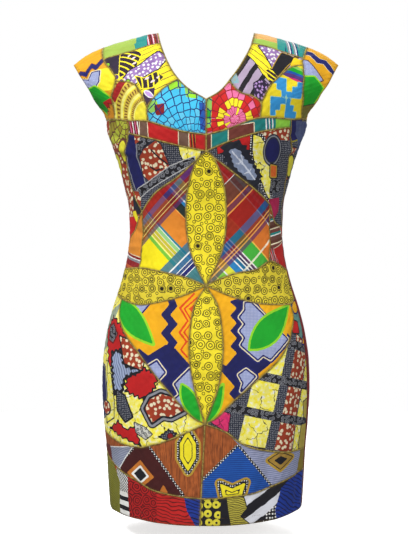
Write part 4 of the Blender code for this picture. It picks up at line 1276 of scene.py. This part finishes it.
        ([[(142, -206), (186, -208), (180, -262), (148, -268)]], PEBBLED, (2.0, INK)),
        ([(176, -240, 13, 1.4)], (shaded, dye(180, 186, 70), YELLOW), (3.0, BLACK)),
        ([[(142, -286), (168, -290), (164, -306), (144, -304)]], CREAM, (2.0, BLACK)),
        ([[(140, -322), (170, -318), (170, -360), (150, -350)]], SLATED, (2.0, BLACK)),
    ]),
    "kite_left": (KITE_LEFT, []),
    "kite_right": (KITE_RIGHT, []),
    "waist_strip_left": (STRIP_LEFT, [
        ([[(-240, -384), (-150, -398), (-126, -402), (-124, -430), (-240, -440)]], PLAID_RED),
    ]),
    "waist_strip_right": ((shaded, RED, dye(178, 36, 30)), [
        ([[(112, -320), (128, -330), (152, -346), (168, -374), (128, -388), (112, -388)]],
         PLAID_BROWN, (1.5, CREAM)),
        ([[(112, -390), (132, -386), (146, -420), (118, -410)]],
         (stripes, 18, 9.0, ((0.0, dye(150, 60, 60)), (0.4, WHITE), (0.5, RED), (0.8, GREY)))),
    ]),
    "waist_petal_left": (RINGED_WAIST, []),
    "waist_petal_right": (RINGED_WAIST, []),
    "petal_upper": (RINGED, []),
    "petal_lower": (RINGED, []),
    "heart_left": (MARIGOLD, [
        ([[(-132, -480), (-98, -478), (-124, -506)]], CHECKED, (3.0, NAVY)),
        ([ribbon(13.0, (-66, -466), (-58, -486), (-72, -502), (-58, -518), (-72, -534),
                 (-58, -550), (-70, -566), (-50, -592)),
          [(-132, -574), (-122, -562), (-104, -574), (-72, -554), (-54, -560), (-36, -580),
           (-24, -592), (-28, -608), (-62, -646), (-84, -626)]],
         NIGHT),
        ([[(-110, -598), (-88, -584), (-74, -602), (-90, -620)],
          [(-28, -596), (-54, -622), (-44, -640), (-58, -652), (-30, -690), (-14, -640)]],
         CHECKED, (3.0, NAVY), (5.0, CREAM), (9.0, NAVY)),
        ([leaf(-136, -516, 112, 42, -42)], GREEN, (4.0, LIME)),
        ([leaf(-26, -656, 74, 24, -64)], GREEN, (3.5, LIME)),
        ([ribbon(3.4, (-20, -464), (-46, -490), (-32, -512), (-47, -532), (-34, -548),
                 (-44, -562), (-32, -576)),
          ribbon(3.0, (-14, -470), (-38, -491), (-24, -514), (-39, -532), (-22, -552)),
          [(-16, -480), (-31, -491), (-16, -506)]],
         dye(222, 70, 20)),
    ]),
    "heart_right": (MARIGOLD, [
        ([[(40, -478), (80, -468), (160, -545), (150, -560), (112, -592), (92, -606),
           (62, -640), (50, -650), (40, -638), (50, -626), (22, -594), (24, -582), (34, -590),
           (54, -568), (42, -556), (54, -542), (42, -529), (54, -516), (42, -503),
           (54, -490)]], NIGHT),
        ([[(70, -482), (80, -482), (150, -548), (116, -580), (102, -572), (92, -580),
           (62, -554), (70, -542), (60, -530), (70, -518), (60, -506), (70, -494)],
          [(58, -606), (70, -598), (86, -610), (62, -634), (66, -620)]],
         CHECKED, (2.6, NAVY), (4.6, CREAM), (8.0, NAVY)),
        ([[(92, -478), (130, -476), (150, -484), (156, -520), (150, -545), (96, -488)]],
         AMBER),
        ([leaf(118, -526, 108, 44, 41)], GREEN, (4.0, LIME)),
        ([leaf(14, -656, 74, 22, 66)], GREEN, (3.5, LIME)),
    ]),
    "hip_left": (CRACKED, [
        ([[(-260, -520), (-200, -500), (-170, -486), (-184, -520), (-196, -560), (-260, -600)]],
         (shaded, SLATE, dye(190, 206, 150), 8.0)),
        ([jagged(13.0, 6.0, (-214, -536), (-192, -600), (-176, -606), (-166, -568),
                 (-138, -562), (-162, -520), (-190, -510)),
          jagged(10.0, 6.0, (-150, -640), (-112, -654), (-90, -630), (-84, -606),
                 (-118, -592), (-126, -604), (-150, -616)),
          jagged(14.0, 4.0, (-194, -712), (-156, -724), (-118, -736), (-128, -700),
                 (-150, -708), (-166, -694))], SCARLET, (2.4, BLACK)),
        ([jagged(11.0, 5.0, (-184, -574), (-174, -646), (-158, -646), (-152, -616),
                 (-122, -602), (-152, -594), (-162, -568))], LEAFY, (4.5, BLACK)),
        ([[(-200, -530), (-184, -524), (-172, -540), (-184, -556), (-198, -552)]],
         (scrolls, 7.0, BLACK, GREY), (3.0, dye(110, 20, 24))),
        ([[(-164, -544), (-140, -550), (-112, -582), (-116, -600), (-152, -590)]], PEBBLED,
         (2.6, BLACK)),
        ([[(-110, -668), (-100, -650), (-80, -640), (-56, -646), (-40, -668), (-62, -680),
           (-78, -678), (-96, -692)]], PEBBLED, (3.5, BLACK), (7.5, GREY), (10.0, BLACK)),
        ([[(-168, -640), (-152, -648), (-136, -684), (-150, -694), (-166, -676)]], SPECKLED,
         (3.0, BLACK)),
        ([[(-196, -590), (-186, -604), (-176, -660), (-180, -690), (-206, -704), (-200, -640)]],
         CRACKED, (2.4, INK)),
        ([[(-260, -600), (-214, -606), (-206, -650), (-216, -690), (-260, -700)]], NIGHT,
         (2.5, INK), (5.0, GREY), (7.5, INK)),
        ([(-206, -676, 13, 0.9)], PEBBLED, (3.0, INK)),
        ([jagged(8.0, 3.0, (-84, -716), (-58, -726), (-52, -708), (-66, -702))], SPECKLED,
         (2.0, BLACK)),
        ([(-63, -714, 5)], DARK_RED, (1.5, BLACK)),
        ([[(-132, -694), (-112, -700), (-96, -712), (-108, -722), (-128, -712)]],
         (scrolls, 7.0, dye(206, 206, 196), INK), (1.5, BLACK)),
    ]),
    "hip_right": ((squares,), [
        ([[(4, -684), (26, -668), (42, -674), (38, -708)]],
         (cracked, 20.0, (MAGENTA, dye(226, 50, 110), MAGENTA), BLACK), (1.5, BLACK)),
        ([[(150, -476), (240, -476), (240, -548), (196, -552), (164, -532)]],
         (shaded, dye(70, 84, 116), SEA, 9.0), (2.0, BLACK)),
        ([(182, -494, 10), [(196, -560), (212, -520), (240, -520), (240, -560)]], AMBER,
         (3.0, NAVY)),
        ([[(164, -514), (182, -520), (184, -540), (166, -538)]], SCARLET, (2.0, BLACK)),
        ([[(196, -664), (214, -660), (216, -700), (198, -692)],
          [(192, -706), (240, -706), (240, -760), (184, -748)]],
         (shaded, dye(206, 184, 90), OLIVE, 7.0), (2.0, INK)),
    ]),
    "skirt_panel_left": (WOOD, [
        ([[(-128, -736), (-104, -734), (-42, -818), (-150, -830), (-164, -776)]],
         (shaded, dye(78, 26, 24), dye(60, 20, 22)), (4.2, BEADED)),
        ([[(-148, -786), (-120, -760), (-92, -788), (-120, -812)]], (shaded, ORANGE, BROWN),
         (-6.5, WHITE), (-10.0, BLACK)),
        ([[(-82, -812), (-76, -800), (-68, -814), (-76, -826)]], (shaded, ORANGE, BROWN)),
        ([[(-200, -748), (-136, -738), (-166, -780), (-192, -772)]],
         (stripes, 84, 3.2, ((0.0, dye(160, 166, 186)), (0.55, dye(112, 118, 142)))),
         (1.5, WHITE)),
        ([[(-260, -742), (-196, -744), (-190, -770), (-260, -790)]],
         (shaded, dye(120, 26, 26), dye(80, 50, 40), 10.0)),
        ([[(-32, -702), (-18, -726), (-18, -752), (-32, -776), (-46, -752), (-46, -726)]],
         *BEAD_EDGED),
    ]),
    "skirt_panel_right": ((stripes, 92, 3.6, ((0.0, dye(160, 166, 196)),
                                              (0.6, dye(118, 124, 160)))), [
        ([[(-20, -680), (6, -694), (40, -710), (56, -728), (-4, -790), (-16, -790)]],
         WOOD),
        ([[(56, -732), (116, -806), (90, -830), (-20, -830), (-18, -804)]],
         (stripes, 90, 3.6, ((0.0, dye(28, 88, 176)), (0.6, dye(20, 62, 140)))),
         (4.2, BEADED)),
        ([[(24, -796), (46, -806), (70, -796), (62, -822), (30, -824)]], *BEAD_EDGED),
        ([[(112, -760), (136, -748), (166, -760), (136, -778)]],
         (shaded, dye(150, 112, 60), GOLD), (1.6, BLACK), (5.6, GOLD), (-6.0, BLACK)),
        ([[(196, -740), (260, -730), (260, -800), (186, -790)]],
         (shaded, dye(120, 92, 50), OLIVE, 8.0)),
    ]),
    "hem_band_left": ((ribs, 84, 6.4, dye(92, 12, 16), dye(196, 34, 32), 7.0), [
        ([[(-146, -796), (-88, -800), (-88, -880), (-150, -880)]],
         (whorls, 19.0, dye(84, 12, 16), dye(180, 28, 28))),
        ([[(-40, -816), (-10, -818), (-10, -880), (-14, -880), (-34, -846)]],
         (ribs, 74, 6.6, dye(12, 16, 60), dye(28, 56, 150), 5.0)),
        ([[(-9, -810), (6, -810), (6, -886), (-12, -886)]],
         (eyelets, 13.0, BLACK, dye(226, 214, 60))),
        ([[(-176, -780), (-146, -786), (-146, -824), (-172, -828)]],
         (stripes, 40, 3.6, ((0.0, WHITE), (0.5, BLACK)), 2.0)),
        ([[(-176, -822), (-146, -822), (-142, -872), (-180, -868)]],
         (stripes, 84, 17.0, ((0.0, BLACK), (0.48, WHITE)), 1.0)),
        ([[(-270, -740), (-188, -770), (-166, -806), (-170, -880), (-270, -880)]],
         (stripes, 66, 3.4, ((0.0, dye(138, 136, 44)), (0.55, dye(98, 98, 34))), 2.5)),
    ]),
    "hem_band_right": ((stripes, 122, 34.0, ((0.0, dye(226, 228, 236)), (0.46, BLACK)), 2.0), [
        ([[(-14, -818), (28, -816), (34, -840), (26, -886), (-14, -886)]],
         (eyelets, 15.0, BLACK, dye(226, 214, 60)), (1.5, BLACK)),
        ([[(26, -812), (40, -812), (44, -842), (36, -886), (24, -886)]], BLACK),
        ([[(36, -820), (66, -822), (72, -842), (60, -856), (78, -872), (78, -886), (46, -886),
           (40, -850)]],
         (stripes, 80, 3.4, ((0.0, dye(190, 178, 66)), (0.55, dye(96, 88, 36))), 3.0),
         (1.6, BLACK)),
        ([[(96, -886), (108, -856), (132, -836), (134, -886)]],
         (speckle, 6.0, BLACK, WHITE)),
        ([[(126, -850), (138, -812), (166, -796), (208, -788), (210, -886), (132, -886)]],
         (ribs, 60, 7.0, dye(12, 18, 70), dye(28, 60, 160), 5.0)),
        ([[(208, -770), (290, -770), (290, -890), (206, -890)]],
         (shaded, dye(108, 112, 124), SLATE, 9.0)),
    ]),
    "back_left": (BACK_RIBS, []),
    "back_right": (BACK_RIBS, []),
}


def finished_piece(name, mesh, body, slot, *materials):
    """An object for a finished mesh, riding on its body."""
    for material in materials:
        mesh.materials.append(material)
    piece = bpy.data.objects.new(name, mesh)
    bpy.context.scene.collection.objects.link(piece)
    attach(piece, body)
    return piece


def reverse_material():
    """The wrong side of the prints, seen inside the dress."""
    cloth = Finish("reverse of the cloth")
    colour = cloth.ramp(cloth.noise(30.0, 4.0), ((0.35, dye(150, 120, 96)),
                                                 (0.65, dye(206, 190, 160))), "EASE")
    finish_cloth(cloth, colour, 0.85)
    return cloth.material


def dress_panels():
    """Every panel of cloth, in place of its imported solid."""
    reverse = reverse_material()
    for node, (side, outline) in panel_outlines().items():
        ground, layers = PRINTS[node]
        behind = node.startswith("back")
        step = BACK_STEP if behind else FRONT_STEP
        # The dye that the painted seam shade mixes in
        shade = dye(*(BACK_SHADE if behind else FRONT_SHADE))
        mesh, size, area = cloth_mesh(node + "_cloth", side, outline, step, layers)
        piece = finished_piece(node + "_cloth", mesh, "dress", node,
                               printed(node + " print", ground, layers, shade), reverse)
        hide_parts(node)


# Sewing

HEM_DEPTH = 14.0           # from the hem up to its top stitching
EDGE_DEPTH = 5.0           # from an open edge to its top stitching
LIP_REACH = 1.9            # from the back seam to each lip of the zip
ZIP_RUN = slice(2, 140)    # the places of the back seam that the zip joins

# Stitches: spacing, then sizes along and across the seam, height, and slant in degrees
SATIN = (1.15, (1.3, 3.3, 1.1, 14.0))
RUNNING = (3.4, (2.3, 0.6, 0.5, 0.0))
ZIP_LIP = (1.2, (2.4, 2.2, 2.0, 0.0))
ZIP_COIL = (1.3, (0.8, 2.4, 1.2, 0.0))

# Which way each open edge's line runs round the cloth, counted on the right side
INSIDE_WAY = {"neckline": 1, "armhole": -1, "hem": 1, "back armhole": 1,
              "back neckline": -1, "back hem": 1}


def stepped(turn, rise, move):
    """Turn and rise after small moves along the wall, given as vectors."""
    small = 0.05
    across = (bare_points(turn + small / MEAN_RADIUS, rise)
              - bare_points(turn - small / MEAN_RADIUS, rise)) / (2 * small)
    along = (bare_points(turn, rise + small) - bare_points(turn, rise - small)) / (2 * small)
    a, b, c = ((first * second).sum(axis=1)
               for first, second in ((across, across), (across, along), (along, along)))
    p, q = (across * move).sum(axis=1), (along * move).sum(axis=1)
    scale = a * c - b * b
    return turn + (p * c - q * b) / scale / MEAN_RADIUS, rise + (q * a - p * b) / scale


def sewn_line(side, line, pitch, beside=0.0):
    """Evenly spaced points on the wall along a seam, with its direction and the outward one."""
    turn = np.array([side * place.x / MEAN_RADIUS for place in line])
    rise = np.minimum([place.y for place in line], CHEST_RISE * pi / 2 - 0.6)
    if beside:
        points = bare_points(turn, rise)
        away = np.cross(outward(turn, rise), np.gradient(points, axis=0))
        away *= beside / np.linalg.norm(away, axis=1, keepdims=True)
        turn, rise = stepped(turn, rise, away)
    points = wall_points(turn, rise)
    length = np.concatenate(([0], np.cumsum(np.linalg.norm(np.diff(points, axis=0), axis=1))))
    stops = np.arange(pitch / 2, length[-1], pitch)
    turn, rise = np.interp(stops, length, turn), np.interp(stops, length, rise)
    points = wall_points(turn, rise)
    along = np.gradient(points, axis=0)
    return points, along / np.linalg.norm(along, axis=1, keepdims=True), outward(turn, rise)


def stitch_tree():
    """Geometry nodes that lay one thread of a stitch on every point."""
    tree = bpy.data.node_groups.new("stitches", "GeometryNodeTree")
    face = tree.interface
    face.new_socket("Points", in_out="INPUT", socket_type="NodeSocketGeometry")
    for name in ("Along seam", "Across seam", "Height", "Slant"):
        face.new_socket(name, in_out="INPUT", socket_type="NodeSocketFloat")
    face.new_socket("Thread", in_out="INPUT", socket_type="NodeSocketMaterial")
    face.new_socket("Stitches", in_out="OUTPUT", socket_type="NodeSocketGeometry")
    start = tree.nodes.new("NodeGroupInput").outputs

    def added(kind, settings=None, inputs=None):
        item = tree.nodes.new(kind)
        for key, value in (settings or {}).items():
            setattr(item, key, value)
        for key, value in (inputs or {}).items():
            if isinstance(value, bpy.types.NodeSocket):
                tree.links.new(value, item.inputs[key])
            else:
                item.inputs[key].default_value = value
        return item

    ball = added("GeometryNodeMeshUVSphere", None, {"Segments": 6, "Rings": 3, "Radius": 0.5})
    size = added("ShaderNodeCombineXYZ", None, {0: start["Along seam"],
                                                1: start["Across seam"], 2: start["Height"]})
    slant = added("ShaderNodeCombineXYZ", None, {2: start["Slant"]})
    thread = added("GeometryNodeTransform", None, {"Geometry": ball.outputs["Mesh"],
                                                   "Scale": size.outputs[0]})
    turned = added("GeometryNodeTransform", None, {"Geometry": thread.outputs[0],
                                                   "Rotation": slant.outputs[0]})
    out, along = (added("GeometryNodeInputNamedAttribute", {"data_type": "FLOAT_VECTOR"},
                        {"Name": name}) for name in ("out", "along"))
    upright = added("FunctionNodeAlignRotationToVector", {"axis": "Z"},
                    {"Vector": out.outputs[0]})
    facing = added("FunctionNodeAlignRotationToVector", {"axis": "X", "pivot_axis": "Z"},
                   {"Rotation": upright.outputs[0], "Vector": along.outputs[0]})
    laid = added("GeometryNodeInstanceOnPoints", None,
                 {"Points": start["Points"], "Instance": turned.outputs[0],
                  "Rotation": facing.outputs[0]})
    real = added("GeometryNodeRealizeInstances", None, {0: laid.outputs[0]})
    smooth = added("GeometryNodeSetShadeSmooth", None, {"Geometry": real.outputs[0]})
    dyed = added("GeometryNodeSetMaterial", None, {"Geometry": smooth.outputs[0],
                                                   "Material": start["Thread"]})
    end = tree.nodes.new("NodeGroupOutput")
    tree.links.new(dyed.outputs[0], end.inputs[0])
    return tree


def sew(name, tree, rows, sizes, slot, thread):
    """One piece of stitches: rows of points, and sizes along, across, height and slant."""
    points, along, out = (np.concatenate([row[i] for row in rows]) for i in range(3))
    mesh = bpy.data.meshes.new(name + " points")
    mesh.from_pydata((points * MM).tolist(), [], [])
    for key, values in (("along", along), ("out", out)):
        mesh.attributes.new(key, "FLOAT_VECTOR", "POINT").data.foreach_set(
            "vector", values.ravel())
    holder = bpy.data.objects.new(name + " points", mesh)
    bpy.context.scene.collection.objects.link(holder)
    modifier = holder.modifiers.new("stitches", "NODES")
    modifier.node_group = tree
    values = dict(zip(("Along seam", "Across seam", "Height"), [size * MM for size in sizes]))
    values.update({"Slant": radians(sizes[3]), "Thread": thread})
    for item in tree.interface.items_tree:
        if item.in_out == "INPUT" and item.name in values:
            modifier[item.identifier] = values[item.name]
    evaluated = holder.evaluated_get(bpy.context.evaluated_depsgraph_get())
    sewn = bpy.data.meshes.new_from_object(evaluated)
    sewn.materials.pop(index=0)            # the ball's own slot, which is empty
    sewn.name = name
    bpy.data.objects.remove(holder)
    return finished_piece(name, sewn, "dress", slot)


def thread_material(name, light, dark, metallic=0.0, roughness=0.5):
    """Sewing thread or small metal, a little uneven from place to place."""
    thread = Finish(name)
    where = thread.node("TexCoord", output=3)
    tone = thread.node("TexNoise", {}, {"Vector": where, "Scale": 160.0, "Detail": 3.0})
    fine = thread.node("TexNoise", {}, {"Vector": where, "Scale": 1400.0, "Detail": 2.0})
    normal = thread.node("Bump", inputs={"Height": fine, "Strength": 0.3,
                                         "Distance": 0.2 * MM})
    thread.shade({"Base Color": thread.ramp(tone, ((0.35, dark), (0.65, light)), "EASE"),
                  "Normal": normal, "Roughness": roughness - 0.08 + tone * 0.16,
                  "Metallic": metallic})
    return thread.material


def all_sewing():
    """Satin stitches over the seams, and top stitching along the open edges."""
    tree = stitch_tree()
    olive = thread_material("olive gold thread", dye(176, 154, 70), dye(120, 102, 44))
    brown = thread_material("brown thread", dye(120, 84, 52), dye(76, 52, 34))
    plain = set(INSIDE_WAY) - {"neckline"} | {"side seam", "shoulder line", "centre back seam"}
    for side, word in ((-1, "left"), (1, "right")):
        rows, edges = [], []
        for title, line in SEAMS[side].items():
            places = [place for stop, place in line]
            if title in INSIDE_WAY:
                depth = HEM_DEPTH if "hem" in title else EDGE_DEPTH
                away = depth * side * INSIDE_WAY[title]
                edges.append(sewn_line(side, places, RUNNING[0], away))
            if title not in plain and not (side > 0 and "centre seam" in title):
                rows.append(sewn_line(side, places, SATIN[0]))
        sew("seam_stitches_" + word, tree, rows, SATIN[1], "heart_" + word, olive)
        sew("edge_stitches_" + word, tree, edges, RUNNING[1], "heart_" + word, brown)
    return tree


def zip_parts(tree):
    """The concealed zip's two lips and the coil between them, slider and pull finished."""
    brass = thread_material("aged brass", dye(176, 146, 84), dye(120, 96, 52), 1.0, 0.36)
    tape = thread_material("zip tape", dye(96, 22, 26), dye(62, 14, 18))
    line = [place for stop, place in SEAMS[1]["centre back seam"]][ZIP_RUN]
    rows = [sewn_line(1, line, ZIP_LIP[0], beside) for beside in (-LIP_REACH, LIP_REACH)]
    sew("zip_lips", tree, rows, ZIP_LIP[1], "back_right", tape)
    sew("zip_coil", tree, [sewn_line(1, line, ZIP_COIL[0])], ZIP_COIL[1], "zip_metal", brass)
    for node in ("zip_slider", "zip_pull"):
        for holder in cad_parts[node].material_slots:
            holder.material = brass


# Surroundings, in metres and watts

FLOOR = -0.912             # height of the floor
FLOOR_REACH = 1.3          # from the middle of the floor to its rim
FLOOR_GREY = 0.93
FLOOR_GLOW = 0.66          # evens the floor with the white background
AMBIENT = 0.31             # how strongly the surround lights the dress
# Lamps: name, place, size, strength
LIGHTS = (
    ("key", (-1.5, -1.9, 2.0), 0.8, 104.0),
    ("fill", (1.7, -2.3, 0.3), 1.8, 30.0),
    ("behind", (0.4, 2.0, 1.6), 1.8, 46.0),
)
LIGHTS_AIM = (0.0, 0.0, -0.45)
LENS = 73.7                # in millimetres
CAMERA_PLACE = (-0.0037, -2.0, -0.315)
CAMERA_DIP = 0.054         # how far the camera looks down, in radians


def stage():
    """A wide pale floor that the camera sees nearly as white as the background."""
    mesh = bpy.data.meshes.new("floor")
    rim = [(FLOOR_REACH * cos(2 * pi * i / 96), FLOOR_REACH * sin(2 * pi * i / 96), FLOOR)
           for i in range(96)]
    mesh.from_pydata(rim, [], [list(range(96))])
    pale = Finish("pale floor")
    pale.shade({"Base Color": (FLOOR_GREY, FLOOR_GREY, FLOOR_GREY, 1.0), "Roughness": 0.9,
                "Emission Color": (1.0, 1.0, 1.0, 1.0), "Emission Strength": FLOOR_GLOW})
    mesh.materials.append(pale.material)
    item = bpy.data.objects.new("floor", mesh)
    bpy.context.scene.collection.objects.link(item)
    item.visible_diffuse = False
    item.visible_glossy = False


def lights():
    """Soft studio light. The camera sees the surround white; the dress is lit by less of it."""
    for name, place, size, watts in LIGHTS:
        lamp = bpy.data.lights.new(name, "AREA")
        lamp.size = size
        lamp.energy = watts
        item = bpy.data.objects.new(name, lamp)
        item.location = place
        aim = Vector(LIGHTS_AIM) - Vector(place)
        item.rotation_euler = aim.to_track_quat("-Z", "Y").to_euler()
        bpy.context.scene.collection.objects.link(item)
    world = bpy.data.worlds.new("studio")
    world.use_nodes = True
    tree = world.node_tree
    soft = tree.nodes["Background"]
    soft.inputs["Color"].default_value = (1, 1, 1, 1)
    soft.inputs["Strength"].default_value = AMBIENT
    bright = tree.nodes.new("ShaderNodeBackground")
    bright.inputs["Strength"].default_value = 1.0
    bright.inputs["Color"].default_value = (1, 1, 1, 1)
    ray = tree.nodes.new("ShaderNodeLightPath")
    either = tree.nodes.new("ShaderNodeMixShader")
    tree.links.new(ray.outputs["Is Camera Ray"], either.inputs[0])
    tree.links.new(soft.outputs[0], either.inputs[1])
    tree.links.new(bright.outputs[0], either.inputs[2])
    tree.links.new(either.outputs[0], tree.nodes["World Output"].inputs["Surface"])
    bpy.context.scene.world = world


def camera():
    """The photograph's view: two metres in front, a little down."""
    lens = bpy.data.cameras.new("camera")
    lens.lens = LENS
    lens.sensor_width = 36.0
    item = bpy.data.objects.new("camera", lens)
    item.location = CAMERA_PLACE
    item.rotation_euler = (pi / 2 - CAMERA_DIP, 0.0, 0.0)
    bpy.context.scene.collection.objects.link(item)
    bpy.context.scene.camera = item
    bpy.context.scene.view_settings.view_transform = "Standard"


camera()
stage()
lights()
dress_panels()
zip_parts(all_sewing())
